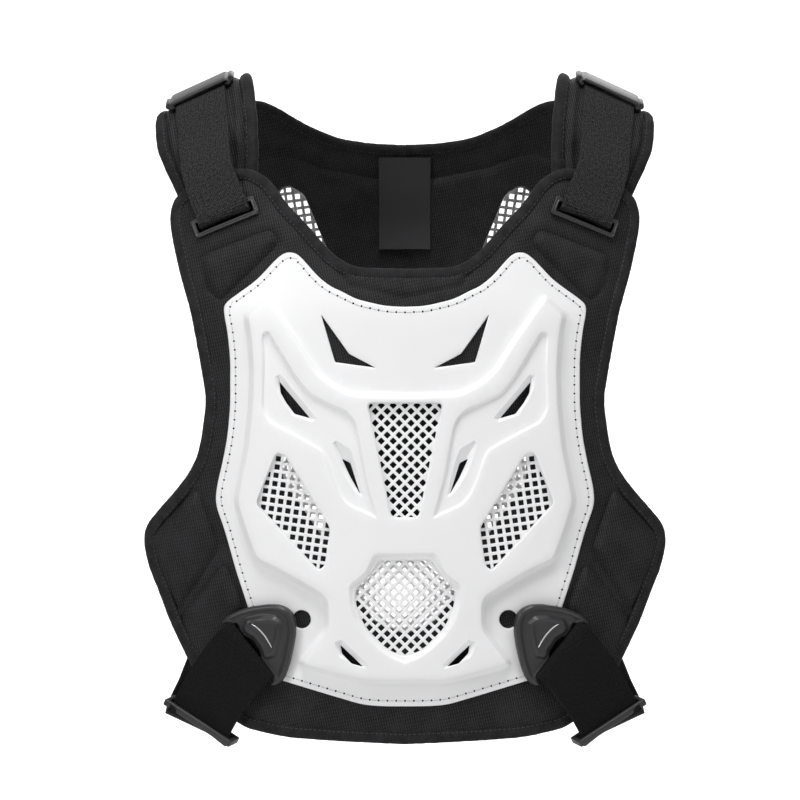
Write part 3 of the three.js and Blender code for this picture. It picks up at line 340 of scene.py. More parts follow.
def satin_ribbon(settings):
    """Polyester satin ribbon: smooth, with a faint sheen and very fine threads across it."""
    made, tree, shader = start_material(
        "satin_ribbon", Roughness=0.42, Specular_IOR_Level=0.4, Sheen_Weight=0.1,
    )
    along = node(tree, "ShaderNodeUVMap", "UV")
    threads = node(tree, "ShaderNodeTexWave", "Fac", {
        "Vector": along, "Scale": BANDS / 0.8, "Distortion": 0.4,
    }, bands_direction="Y")
    tint = node(tree, "ShaderNodeMix", "Result", {
        "Factor": threads, "A": shaded(settings.tag, 0.75), "B": shaded(settings.tag),
    }, data_type="RGBA")
    bump = node(tree, "ShaderNodeBump", "Normal", {
        "Height": threads, "Strength": 0.15, "Distance": 0.08 * MM,
    })
    feed(shader, Base_Color=tint, Normal=bump)
    return made


def matt_background_paper():
    """Matt white background paper with a faint tooth. Its far end glows as under lamps of its own,
    so that it turns pure white behind the vest."""
    made, tree, shader = start_material("matt_background_paper", Roughness=0.95, Specular_IOR_Level=0.1)
    place = node(tree, "ShaderNodeTexCoord", "Object")
    tooth = node(tree, "ShaderNodeTexNoise", "Fac", {"Vector": place, "Scale": 1 / (4 * MM), "Detail": 2.0})
    tint = node(tree, "ShaderNodeMix", "Result", {
        "Factor": tooth, "A": shaded(linear("#F6F6F6")), "B": shaded(linear("#FAFAFA")),
    }, data_type="RGBA")
    depth = node(tree, "ShaderNodeSeparateXYZ", "Y", {"Vector": place})
    glow = node(tree, "ShaderNodeMapRange", "Result", (depth, 1.2, 2.4, 0.05, 0.85))
    shader.inputs["Emission Color"].default_value = (1, 1, 1, 1)
    feed(shader, Base_Color=tint, Emission_Strength=glow)
    return made


def finish_of(name, make, *arguments):
    """A material made once and shared by the pieces of the same finish."""
    return bpy.data.materials.get(name) or make(*arguments)


# Flat drawings

def points(rows):
    """Rows of numbers as an array that can be moved and scaled."""
    return np.array(rows, dtype=float)


def mirror(shape):
    """An outline on the other half of the body, run the same way round."""
    return (shape * (-1, 1))[::-1]


def whole(half):
    """A closed outline from its half, which runs from the top middle to the bottom middle."""
    return np.vstack([half, mirror(half)[1:-1]])


def rounded(shape, radius, closed=True):
    """Rounds each corner with a short curve that starts the radius away from it."""
    out = []
    last = len(shape) - 1
    for i, here in enumerate(shape):
        if not closed and i in (0, last):
            out.append(here)
            continue
        before = shape[i - 1] - here
        after = shape[(i + 1) % len(shape)] - here
        reach_in, reach_out = np.linalg.norm(before), np.linalg.norm(after)
        start = here + before / reach_in * min(radius, 0.45 * reach_in)
        end = here + after / reach_out * min(radius, 0.45 * reach_out)
        for t in np.linspace(0, 1, 6):
            out.append((1 - t) ** 2 * start + 2 * t * (1 - t) * here + t * t * end)
    return np.array(out)


def divided(shape, spacing, closed=True):
    """Adds points along the sides so that none is longer than the spacing."""
    out = []
    ends = np.roll(shape, -1, axis=0) if closed else shape[1:]
    for a, b in zip(shape, ends):
        count = max(1, math.ceil(np.linalg.norm(b - a) / spacing))
        out += [a + (b - a) * k / count for k in range(count)]
    if not closed:
        out.append(shape[-1])
    return np.array(out)


def spaced(shape, spacing):
    """Points and unit ways at equal steps round a closed outline."""
    loop = np.vstack([shape, shape[:1]])
    run = np.concatenate([[0], np.cumsum(np.linalg.norm(np.diff(loop, axis=0), axis=1))])
    count = max(3, round(run[-1] / spacing))
    at = np.arange(count) * run[-1] / count
    spots = np.stack([np.interp(at, run, loop[:, k]) for k in (0, 1)], axis=1)
    ways = np.roll(spots, -1, axis=0) - np.roll(spots, 1, axis=0)
    return spots, ways / np.linalg.norm(ways, axis=1, keepdims=True)


def turning(shape):
    nexts = np.roll(shape, -1, axis=0)
    return math.copysign(1, np.sum(shape[:, 0] * nexts[:, 1] - nexts[:, 0] * shape[:, 1]))


def inset(shape, distance):
    """A closed outline moved inwards, or outwards for a negative distance, with mitred corners."""
    ahead = np.roll(shape, -1, axis=0) - shape
    ahead /= np.maximum(np.linalg.norm(ahead, axis=1, keepdims=True), 1e-9)
    behind = np.roll(ahead, 1, axis=0)
    normal = np.stack([-(ahead + behind)[:, 1], (ahead + behind)[:, 0]], axis=1)
    normal /= np.maximum(np.linalg.norm(normal, axis=1, keepdims=True), 1e-9)
    normal *= turning(shape)
    side = np.stack([-ahead[:, 1], ahead[:, 0]], axis=1) * turning(shape)
    reach = distance / np.maximum(0.5, np.sum(side * normal, axis=1))
    return shape + normal * reach[:, None]


def inside_distance(shape, spots, reach=15.0):
    """Distance from each spot to an outline, positive inside it. Spots that are farther outside
    than the reach are only told so."""
    low, high = shape.min(axis=0) - reach, shape.max(axis=0) + reach
    near = np.all((spots > low) & (spots < high), axis=1)
    if not near.all():
        result = np.full(len(spots), -reach)
        if near.any():
            result[near] = inside_distance(shape, spots[near], np.inf)
        return result
    nearest = np.full(len(spots), np.inf)
    inside = np.zeros(len(spots), dtype=bool)
    for a, b in zip(shape, np.roll(shape, -1, axis=0)):
        way = b - a
        away = spots - a
        share = np.clip(away @ way / max(way @ way, 1e-12), 0, 1)
        nearest = np.minimum(nearest, np.sum((away - share[:, None] * way) ** 2, axis=1))
        if a[1] != b[1]:
            crosses = (a[1] > spots[:, 1]) != (b[1] > spots[:, 1])
            inside ^= crosses & (spots[:, 0] < way[0] * (spots[:, 1] - a[1]) / way[1] + a[0])
    return np.where(inside, 1, -1) * np.sqrt(nearest)


def ramp(value, softness=0.08):
    """Rises from 0 to 1 as the value does, with softened ends."""
    value = np.asarray(value, dtype=float)
    low = np.sqrt(value ** 2 + softness ** 2)
    return 0.5 * (low - np.sqrt((value - 1) ** 2 + softness ** 2) + 1)


def groove_at(distance, width):
    """A soft groove of depth 1, by the distance from its line."""
    return np.exp(-(distance / width) ** 2)


def folded(flat):
    """Spots of both halves of the body on the half that is drawn."""
    return np.stack([np.abs(flat[:, 0]), flat[:, 1]], axis=1)


def creases(shape, *distances):
    """Contours of an outline at distances in from it."""
    return [inset(shape, distance) for distance in distances]


def lip_drop(distance, radius):
    """How far a rounded edge falls, by the distance from the edge."""
    inner = radius - np.clip(distance, 0, radius)
    return radius - np.sqrt(np.maximum(radius ** 2 - inner ** 2, 0))


# How a flat drawing lies in space

PANELS = {
    "front": {
        "side": -1, "depth": 105, "wrap": 55, "half": 192,
        "lean": [(-461, 5.8), (-357, 0), (-149, 0), (-91, 8.9), (-45, 20)],
    },
    "rear": {
        "side": 1, "depth": 105, "wrap": 45, "half": 172,
        "lean": [(-445, 3.2), (-150, 0), (-81, 6.8), (-35, 21), (-5, 37.8), (16, 54.6)],
    },
}
# How squarely a panel wraps round the body, and over what height its lean is blended
WRAP_POWER = 2.2
LEAN_BLEND = 8.0
# The back panel's top and height, which the ends of the straps follow
BACK_TOP = 16
BACK_HEIGHT = 461


def middle_of(panel, x, z):
    """Depth of the middle of a panel's foam."""
    rows = points(panel["lean"])
    lean = sum(np.interp(z + k * LEAN_BLEND, rows[:, 0], rows[:, 1]) for k in (-1, 0, 1)) / 3
    wrap = panel["wrap"] * (np.abs(x) / panel["half"]) ** WRAP_POWER
    return panel["side"] * (panel["depth"] - wrap - lean)


def on_panel(name):
    """Lays a flat drawing on the front or rear panel."""
    panel = PANELS[name]

    def lay(flat, heights):
        x, z = flat[:, 0], flat[:, 1]
        return np.stack([x, middle_of(panel, x, z) + panel["side"] * heights, z], axis=1)
    lay.turn = panel["side"] < 0
    return lay


def sections_along(rows, steps):
    """Cross-sections on a centripetal curve through rows of point, across and half width."""
    spots = [Vector(row["point"]) for row in rows]
    last = len(spots) - 1

    def at(share):
        run = min(max(share, 0.0), 1.0) * last
        i = min(int(run), last - 1)
        t = run - i
        b, c = spots[i], spots[i + 1]
        a = spots[i - 1] if i else b * 2 - c
        d = spots[i + 2] if i + 2 <= last else c * 2 - b
        span = [max((q - p).length_squared ** 0.25, 1e-6) for p, q in ((a, b), (b, c), (c, d))]
        leave = ((b - a) / span[0] - (c - a) / (span[0] + span[1]) + (c - b) / span[1]) * span[1]
        reach = ((c - b) / span[1] - (d - b) / (span[1] + span[2]) + (d - c) / span[2]) * span[1]
        square = (c - b) * 3 - leave * 2 - reach
        cube = (b - c) * 2 + leave + reach
        return b + leave * t + square * t ** 2 + cube * t ** 3

    out = []
    for k in range(steps + 1):
        share = k / steps
        run = share * last
        i = min(int(run), last - 1)
        along = (at(share + 1e-4) - at(share - 1e-4)).normalized()
        across = Vector(rows[i]["across"]).lerp(Vector(rows[i + 1]["across"]), run - i)
        across = (across - along * across.dot(along)).normalized()
        half = rows[i]["half"] + (rows[i + 1]["half"] - rows[i]["half"]) * (run - i)
        out.append({
            "point": at(share), "along": along, "across": across,
            "out": across.cross(along), "half": half,
        })
    return out


def lifted(section, height, half):
    return {**section, "point": section["point"] + section["out"] * height, "half": half}


def backwards(sections):
    return [{**s, "along": -s["along"], "out": -s["out"]} for s in reversed(sections)]


def run_of(sections):
    """Distance along the cross-sections."""
    steps = [(b["point"] - a["point"]).length for a, b in zip(sections, sections[1:])]
    return np.concatenate([[0], np.cumsum(steps)])


def on_sections(sections):
    """Lays a flat drawing on cross-sections: x across them, z along them."""
    run = run_of(sections)
    table = {key: np.array([s[key] for s in sections]) for key in ("point", "across", "out")}

    def lay(flat, heights):
        def value(key):
            return np.stack([np.interp(flat[:, 1], run, table[key][:, k]) for k in range(3)], axis=1)
        across, out = (v / np.linalg.norm(v, axis=1, keepdims=True) for v in (value("across"), value("out")))
        return value("point") + across * flat[:, :1] + out * heights[:, None]
    lay.turn = True
    return lay


# Mesh tools

def clear_selection():
    """Leaves edit mode and deselects everything, the solids of the frame too."""
    if bpy.context.object and bpy.context.object.mode != "OBJECT":
        bpy.ops.object.mode_set(mode="OBJECT")
    bpy.ops.object.select_all(action="DESELECT")


def make_active(piece):
    clear_selection()
    piece.select_set(True)
    bpy.context.view_layer.objects.active = piece


def apply_modifier(piece, kind, **settings):
    """Adds a modifier with its settings and applies it."""
    make_active(piece)
    bpy.ops.object.modifier_add(type=kind)
    modifier = piece.modifiers[-1]
    for key, value in settings.items():
        setattr(modifier, key, value)
    bpy.ops.object.modifier_apply(modifier=modifier.name)


def bevel(piece, width, segments, degrees):
    """Rounds the edges that are sharper than an angle."""
    apply_modifier(
        piece, "BEVEL", width=width * MM, segments=segments, limit_method="ANGLE",
        angle_limit=math.radians(degrees),
    )


def smooth(piece, degrees):
    """Shades a piece smooth where its faces meet below an angle."""
    make_active(piece)
    bpy.ops.object.shade_smooth_by_angle(angle=math.radians(degrees))


def in_edit_mode(piece, *steps):
    """Runs edit steps on all of a piece's mesh, each an operator and its settings."""
    make_active(piece)
    bpy.ops.object.mode_set(mode="EDIT")
    for operator, settings in steps:
        bpy.ops.mesh.select_all(action="SELECT")
        operator(**settings)
    bpy.ops.object.mode_set(mode="OBJECT")


def new_piece(name, vertices, faces):
    """An object from vertices in millimetres."""
    mesh = bpy.data.meshes.new(name)
    mesh.from_pydata((np.asarray(vertices) * MM).tolist(), [], faces)
    mesh.update()
    piece = bpy.data.objects.new(name, mesh)
    bpy.context.scene.collection.objects.link(piece)
    return piece


def dress(piece, material, slot, *nodes, padding=None):
    """Gives a piece its finish and its body, and hides the solids that it stands for. Its slot is not used.
    """
    piece.data.materials.clear()
    piece.data.materials.append(material)
    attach(piece, "root")
    if nodes:
        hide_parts(*nodes)
    return piece


def mirrored_copy(piece, name):
    """A mesh copy of a piece on the other side of the body, as an object of its own."""
    twin = bpy.data.objects.new(name, piece.data.copy())
    bpy.context.scene.collection.objects.link(twin)
    twin.data.transform(Matrix.Scale(-1, 4, (1, 0, 0)))
    twin.data.flip_normals()
    return twin


def add_right_twin(piece, slot, *nodes, padding=None):
    """The right-hand twin of a dressed left-hand piece, in the same finish."""
    twin = mirrored_copy(piece, piece.name.replace("left", "right", 1))
    return dress(twin, piece.data.materials[0], slot, *nodes, padding=padding)


def joined(parts):
    """Parts joined into the first one's object."""
    clear_selection()
    for part in parts:
        part.select_set(True)
    bpy.context.view_layer.objects.active = parts[0]
    bpy.ops.object.join()
    return parts[0]


def flat_mesh(outline, contours, holes, spacing, halved):
    """Triangles over a flat drawing. Its creases follow the contours, so that each edge of a slope
    is a clean line, which a plain grid with its steps can't give."""
    spots, edges = [], []

    def draw(shape, closed=True):
        first = len(spots)
        spots.extend(map(tuple, shape))
        count = len(shape)
        edges.extend((first + k, first + (k + 1) % count) for k in range(count if closed else count - 1))

    for shape in (outline, *holes, *contours):
        if halved and shape[:, 0].max() < -0.5:
            continue
        draw(shape)
    tree = KDTree(len(spots))
    for k, (x, z) in enumerate(spots):
        tree.insert((x, z, 0), k)
    tree.balance()
    low, high = outline.min(axis=0), outline.max(axis=0)
    if halved:
        low = points((0, low[1]))
        seam = [(0.0, z) for z in np.arange(low[1] - spacing, high[1] + spacing, spacing)]
        draw(np.array(seam), closed=False)
    free = []
    for row, z in enumerate(np.arange(low[1], high[1], spacing * 0.87)):
        for x in np.arange(low[0] + (row % 2) * spacing / 2, high[0], spacing):
            if tree.find((x, z, 0))[2] > 0.45 * spacing and not (halved and x < 0.4 * spacing):
                free.append((x, z))
    free = np.array(free)
    free = free[inside_distance(outline, free) > 0]
    vertices = [Vector(p) for p in spots] + [Vector(p) for p in free]
    made = delaunay_2d_cdt(vertices, edges, [], 0, 1e-4)
    flat = np.array([tuple(v) for v in made[0]])
    faces = np.array([tuple(f) for f in made[2]])
    centres = flat[faces].mean(axis=1)
    keep = inside_distance(outline, centres) > 0
    if halved:
        keep &= centres[:, 0] > 0
    for hole in holes:
        keep &= inside_distance(hole, centres, 0.1) < 0
    faces = faces[keep]
    used = np.unique(faces)
    index = np.full(len(flat), -1)
    index[used] = np.arange(len(used))
    return flat[used], index[faces]


def panel_piece(name, lay, outline, contours, holes, top, bottom, spacing=4.0, halved=True):
    """A closed body over a flat drawing. `top` gives each point's outer height and `bottom` the
    inner one, from the points, the distance to the nearest edge and the outer height."""
    flat, faces = flat_mesh(outline, contours, holes, spacing, halved)
    edge = inside_distance(outline, flat)
    for hole in holes:
        edge = np.minimum(edge, -inside_distance(hole, flat, 6.0))
    outer = top(flat, edge)
    inner = bottom(flat, edge, outer)
    count = len(flat)
    vertices = np.vstack([lay(flat, outer), lay(flat, inner)])
    sides = {}
    for a, b, c in faces.tolist():
        for pair in ((a, b), (b, c), (c, a)):
            sides[pair] = True
    walls = [
        (a, b) for a, b in sides
        if (b, a) not in sides and not (halved and abs(flat[a][0]) < 1e-3 and abs(flat[b][0]) < 1e-3)
    ]
    rings = faces.tolist() + (faces[:, ::-1] + count).tolist()
    rings += [(b, a, a + count, b + count) for a, b in walls]
    if not lay.turn:
        rings = [tuple(reversed(ring)) for ring in rings]
    piece = new_piece(name, vertices, rings)
    if halved:
        apply_modifier(piece, "MIRROR", merge_threshold=MERGE)
    return piece


def laid_grid(name, rows, lengths, closed=False):
    """A grid primitive laid on rows of points. Its UV map holds millimetres across and along."""
    clear_selection()
    across, along = len(rows[0]), len(rows)
    bpy.ops.mesh.primitive_grid_add(x_subdivisions=across - 1, y_subdivisions=along - 1, size=1)
    piece = bpy.context.object
    piece.name = piece.data.name = name
    piece.data.vertices.foreach_set("co", (np.array(rows).reshape(-1, 3) * MM).ravel())
    uv = piece.data.uv_layers[0].data
    flat = np.zeros(len(uv) * 2)
    uv.foreach_get("uv", flat)
    flat = flat.reshape(-1, 2)
    flat[:, 0] *= lengths[0]
    flat[:, 1] = np.interp(flat[:, 1], np.linspace(0, 1, along), lengths[1])
    uv.foreach_set("uv", flat.ravel())
    piece.data.update()
    if closed:
        in_edit_mode(
            piece, (bpy.ops.mesh.remove_doubles, {"threshold": MERGE}),
            (bpy.ops.mesh.normals_make_consistent, {"inside": False}),
        )
    return piece


def stitches(name, spots, ways, ups, size, material, slot):
    """One small rounded stitch, modelled once and copied to each spot in one mesh."""
    clear_selection()
    bpy.ops.mesh.primitive_uv_sphere_add(segments=6, ring_count=4, radius=0.5)
    stitch = bpy.context.object
    shape = np.array([tuple(v.co) for v in stitch.data.vertices]) * size
    faces = [tuple(p.vertices) for p in stitch.data.polygons]
    bpy.data.objects.remove(stitch)
    vertices, rings = [], []
    for spot, way, up in zip(spots, ways, ups):
        side = np.cross(way, up)
        first = len(vertices) * len(shape)
        vertices.append(spot + shape[:, :1] * way + shape[:, 1:2] * side + shape[:, 2:] * up)
        rings += [tuple(first + k for k in face) for face in faces]
    piece = new_piece(name, np.vstack(vertices), rings)
    in_edit_mode(piece, (bpy.ops.mesh.normals_make_consistent, {"inside": False}))
    smooth(piece, 60)
    return dress(piece, material, slot)


def frames_on(lay, spots, ways, heights):
    """Places, ways and normals in space for spots on a flat drawing."""
    step = 0.5
    here = lay(spots, heights)
    ahead = lay(spots + ways * step, heights) - here
    sides = np.stack([-ways[:, 1], ways[:, 0]], axis=1)
    beside = lay(spots + sides * step, heights) - here
    ahead /= np.linalg.norm(ahead, axis=1, keepdims=True)
    up = np.cross(ahead, beside)
    up /= np.linalg.norm(up, axis=1, keepdims=True)
    return here, ahead, up


# The flat drawings of the panels and plates, right halves as seen from the front

FRONT_OUTLINE = points([
    (0, -120), (36, -119), (50, -111), (62, -98), (71, -87), (85, -73), (97, -55), (109, -47),
    (120, -45), (138, -47), (154, -53), (164, -61), (170, -67), (173, -80), (170, -98),
    (164, -123), (156, -149), (149, -185), (144, -214), (148, -243), (151, -255), (157, -267),
    (168, -281), (181, -295), (190, -306), (192, -318), (188, -336), (180, -354), (172, -375),
    (157, -405), (142, -431), (117, -451), (86, -457), (49, -459), (0, -461),
])
PLATE_OUTLINE = points([
    (0, -147.5), (14, -147), (35, -142), (46, -136), (53, -133), (62, -126), (75, -111),
    (80, -108), (86, -108), (92, -112), (107, -128), (130, -144), (131, -150), (128, -165),
    (126, -184), (126, -218),
    (128, -240), (131, -256), (136, -277), (137, -289), (130, -308), (122, -336), (113, -363),
    (96, -413), (86, -416), (58, -424), (30, -432), (16, -433), (0, -433),
])
RAISED_OUTLINE = points([
    (0, -209), (38, -208), (52, -201), (62, -193), (77, -170), (93, -147), (100, -137),
    (117, -152), (114, -167), (112, -193), (113, -220), (116, -248), (121, -272), (124, -287),
    (118, -306), (109, -330), (91, -338), (73, -348), (61, -355), (58, -359), (58, -377),
    (77, -401), (74, -406), (30, -417), (0, -417),
])
CHANNEL = points([
    (98, -164), (88, -180), (77, -198), (68, -209), (54, -216), (42, -221), (35, -229), (32, -244),
    (27, -271), (19, -299), (41, -289), (47, -282), (52, -271), (59, -251), (71, -244), (86, -236),
    (98, -230), (103, -220), (102, -187), (103, -167),
])
# Each vent has a hole and the slanted facet round it. The top vents have no facet.
VENTS = [
    {"hole": [(60, -153), (40, -181), (21, -191), (50, -187)], "facet": None},
    {
        "hole": [(90, -201), (68, -227), (79, -224), (85, -216), (89, -209)],
        "facet": [(94, -190), (92.5, -205), (88, -215), (81, -225), (58, -233)],
    },
    {
        "hole": [(45, -256), (39, -259), (32, -281), (39, -269)],
        "facet": [(53.5, -240), (39, -249), (34.5, -262), (29, -286), (38, -277), (46, -263)],
    },
    {
        "hole": [(46, -389), (30, -404), (38, -402), (45, -395)],
        "facet": [(50.5, -379.5), (19, -409.5), (47, -397.5), (50, -391)],
    },
]
CENTRE_WINDOW = points([(0, -216), (27, -216), (10, -298), (0, -298)])
SIDE_WINDOW = points([(92, -251), (85, -254), (53, -305), (57, -333), (62, -336), (107, -288)])
SHIELD_RECESS = points([
    (0, -323), (22, -323), (28, -336), (39, -345), (40, -348), (39.5, -360), (36, -371),
    (29, -382), (20, -391), (10, -398), (0, -402),
])
SHIELD_WINDOW = points([
    (0, -328), (19, -328), (25, -338), (35, -348), (36, -354), (35, -362), (31, -372), (25, -381),
    (17, -389), (8, -395), (0, -397),
])
KEYHOLE = {"centre": (74, -371), "radius": 6.6}

BACK_OUTLINE = points([
    (0, -16), (26, -15), (51.5, -11.5), (77, -1.5), (95.5, 9), (107, 14), (118, 15), (150, -2),
    (168, -13), (172, -26), (166, -62), (157, -108), (151, -154), (148, -205), (150, -242),
    (159, -279), (169, -307), (172, -339), (164, -380), (148, -417), (124, -436), (77, -441),
    (0, -445),
])
BACK_PLATE_OUTLINE = points([
    (0, -72), (37, -68), (63, -49), (84, -32), (96, -28), (108, -34), (117, -52), (122, -87),
    (116, -147), (112, -194), (120, -250), (113, -313), (95, -396), (43, -424), (0, -424),
])
BACK_RAISED_OUTLINE = points([
    (0, -88), (38, -83), (67, -64), (87, -44), (95, -41), (103, -46), (109, -60), (111, -91),
    (104, -147), (100, -194), (107, -250), (102, -305), (85, -380), (39, -406), (0, -406),
])
BACK_SLANTED = points([
    (98, -50), (89, -47), (78, -54), (54, -111), (56, -135), (71, -147), (96, -107),
])
BACK_SIDE = points([(98, -234), (84, -230), (60, -297), (65, -321), (95, -277)])
BACK_SHIELD = points([
    (0, -325), (29, -325), (40, -341), (40, -365), (24, -388), (0, -398),
])

# Moulded pads of the front panel and the pressed line of the back panel's lining
FRONT_PADS = [
    points([(148, -110), (97, -92), (92, -101), (134, -141), (144, -131)]),
    points([(152, -279), (136, -322), (165, -366), (176, -345), (188, -316)]),
    points([(130.5, -333), (117, -362), (127, -398), (152.5, -405), (163, -374)]),
]
COLLAR_PAD = points([(0, -124), (34, -123), (48, -117), (41, -131), (0, -140)])
LINING_PAD = points([
    (0, -43.5), (22, -42.5), (65, -35), (83, -28.5), (95.5, -24.5), (107, -26), (117, -31),
    (131, -44), (140, -70), (135, -150), (128, -210), (134, -270), (146, -320), (140, -380),
    (120, -412), (0, -420),
])


def drawn(shape, radius, spacing, halved=True):
    """A rounded outline with points at the spacing. A half outline is made whole."""
    if not halved:
        return divided(rounded(shape, radius), spacing)
    half = divided(rounded(shape, radius, closed=False), spacing, closed=False)
    return whole(half)


def circle(centre, radius, sides):
    turns = np.linspace(0, 2 * math.pi, sides, endpoint=False)
    return np.stack([np.cos(turns), np.sin(turns)], axis=1) * radius + centre


def both(shapes):
    """Outlines on the right half, and their mirror images."""
    return [*shapes, *(mirror(shape) for shape in shapes)]


def area_of(shape):
    nexts = np.roll(shape, -1, axis=0)
    return 0.5 * abs(np.sum(shape[:, 0] * nexts[:, 1] - nexts[:, 0] * shape[:, 1]))


def clipped(shape, cutter):
    """The part of an outline inside a convex cutter."""
    sense = turning(cutter)
    kept = list(shape)
    for a, b in zip(cutter, np.roll(cutter, -1, axis=0)):
        way = b - a
        sides = [sense * (way[0] * (p[1] - a[1]) - way[1] * (p[0] - a[0])) for p in kept]
        inside = []
        for k, (here, side) in enumerate(zip(kept, sides)):
            after, beyond = kept[(k + 1) % len(kept)], sides[(k + 1) % len(kept)]
            if side >= 0:
                inside.append(here)
            if (side >= 0) != (beyond >= 0):
                inside.append(here + (after - here) * side / (side - beyond))
        kept = inside
        if len(kept) < 3:
            return np.empty((0, 2))
    return np.array(kept)


def net_cells(window, pitch, bar, turn, origin):
    """Holes of a net with soft corners, cut off where they meet the rim of the window."""
    half = (pitch - bar) / 2
    square = rounded(points([(-half, -half), (half, -half), (half, half), (-half, half)]), 0.25 * half)
    angle = math.radians(turn)
    spin = points([(math.cos(angle), math.sin(angle)), (-math.sin(angle), math.cos(angle))])
    reach = math.ceil(np.linalg.norm(window.max(axis=0) - window.min(axis=0)) / pitch)
    steps = np.arange(-reach, reach + 1) * pitch
    places = np.stack(np.meshgrid(steps, steps), axis=-1).reshape(-1, 1, 2)
    grid = (square[::2] + places) @ spin + origin
    inside = inside_distance(window, grid.reshape(-1, 2)).reshape(len(grid), -1) > 0
    cells = list(grid[inside.all(axis=1)])
    for cell in grid[inside.any(axis=1) & ~inside.all(axis=1)]:
        part = clipped(window, cell)
        if len(part) > 2 and area_of(part) > 0.2 * (pitch - bar) ** 2:
            cells.append(part)
    return cells


# Plates

def build_plate(name, node_name, lay, drawing, settings):
    """A moulded plate, its nets and its sewing."""
    material = finish_of("moulded_polypropylene", moulded_polypropylene, settings)
    lip = settings.lip / MM
    outline = drawn(drawing["outline"], 7, 2.0)
    raised = drawn(drawing["raised"], 6, 2.2)
    channels = [drawn(shape, 4, 2.2, halved=False) for shape in drawing["channels"]]
    facets = [drawn(points(v["facet"]), 1.5, 2.0, halved=False) for v in drawing["vents"] if v["facet"]]
    vents = [drawn(points(v["hole"]), 1.2, 1.6, halved=False) for v in drawing["vents"]]
    windows = [drawn(shape, 4, 1.8, halved=on_middle) for shape, on_middle in drawing["windows"]]
    recess = drawing.get("recess")
    recess = drawn(recess, 3, 2.0) if recess is not None else None
    keyholes = [circle(hole["centre"], hole["radius"], 28) for hole in drawing["keyholes"]]
    stitch_line, stitch_ways = spaced(inset(outline, settings.stitch_in / MM), settings.stitch_pitch / MM)
    needles = [circle(spot, settings.needle / MM, 8) for spot in stitch_line]
    flange = FOAM / 2 + GAP + PLATE_WALL
    edges = [*vents, *windows, *keyholes]

    def top(flat, edge):
        mid = folded(flat)
        rims = inside_distance(outline, mid)
        height = flange + PLATE_RISE * ramp(inside_distance(raised, mid) / PLATE_SLOPE)
        for channel in channels:
            height -= CHANNEL_DEPTH * ramp(inside_distance(channel, mid) / CHANNEL_SLOPE)
        for facet in facets:
            height -= np.clip(inside_distance(facet, mid), 0, FACET_DEPTH)
        if recess is not None:
            height -= SHIELD_DEPTH * ramp(inside_distance(recess, mid) / SHIELD_SLOPE)
        height -= SEAM_DEPTH * groove_at(rims - settings.stitch_in / MM, SEAM_WIDTH)
        for shape in edges:
            rims = np.minimum(rims, -inside_distance(shape, mid))
        return height - lip_drop(rims, lip)

    def bottom(flat, edge, outer):
        mid = folded(flat)
        near = np.min([-inside_distance(shape, mid) for shape in windows], axis=0)
        deeper = (GRILLE_DROP + GRILLE_WALL - PLATE_WALL) * (1 - ramp(near / 2.0))
        level = np.where(edge < lip, outer + lip_drop(edge, lip), outer)
        return level - PLATE_WALL - deeper

    slopes = creases(raised, -0.5, 0.05, 0.45, 1.9, 3.35, 3.75, 4.3)
    for channel in channels:
        slopes += creases(channel, -0.3, 0.05, 0.3, 0.9, 1.5, 1.75, 2.1)
    slopes += facets
    if recess is not None:
        slopes += creases(recess, -0.35, 0.05, 0.4, 1.3, 2.25, 2.6, 3.0)
    slopes += creases(outline, 0.12 * lip, 0.45 * lip, lip)
    for shape in edges:
        slopes += creases(shape, -0.12 * lip, -0.45 * lip, -lip)
    piece = panel_piece(name, lay, outline, slopes, [*edges, *needles], top, bottom, spacing=4.5)
    smooth(piece, 32)
    dress(piece, material, "white_plate", node_name)

    build_nets(f"{name}_nets", lay, drawing, windows, flange, material, settings)
    thread = finish_of("pale_thread", sewing_thread, "pale_thread", "#D2D2D4")
    between = stitch_line + stitch_ways * settings.stitch_pitch / MM / 2
    heights = np.full(len(between), flange + 0.02)
    size = (settings.stitch_pitch / MM * 0.72, 0.5, 0.35)
    stitches(f"{name}_sewing", *frames_on(lay, between, stitch_ways, heights), size, thread, "white_plate")


def build_nets(name, lay, drawing, windows, flange, material, settings):
    """The nets of a plate, each clipped to its window."""
    pitch, bar = settings.net_pitch / MM, settings.net_bar / MM
    face = flange + PLATE_RISE
    parts = []
    rows = zip(windows, drawing["windows"], drawing["nets"])
    for k, (window, (_, on_middle), (turn, sunk)) in enumerate(rows):
        centre = np.array([0.0 if on_middle else window[:, 0].mean(), window[:, 1].mean()])
        rim = inset(window, -0.25)
        cells = net_cells(inset(window, 0.5), pitch, bar, turn, centre)
        crowns = [inset(cell, -0.4) for cell in cells]

        def top(flat, edge, sunk=sunk):
            return face - GRILLE_DROP - sunk - 0.5 * lip_drop(edge, 0.7)

        def bottom(flat, edge, outer, sunk=sunk):
            return np.full(len(flat), face - GRILLE_DROP - sunk - GRILLE_WALL)

        part = panel_piece(f"{name}_{k}", lay, rim, crowns, cells, top, bottom, 3.0, halved=on_middle)
        if not on_middle:
            parts.append(mirrored_copy(part, f"{name}_{k}_twin"))
        parts.append(part)
    net = joined(parts)
    net.name = net.data.name = name
    smooth(net, 45)
    return dress(net, material, "white_plate")


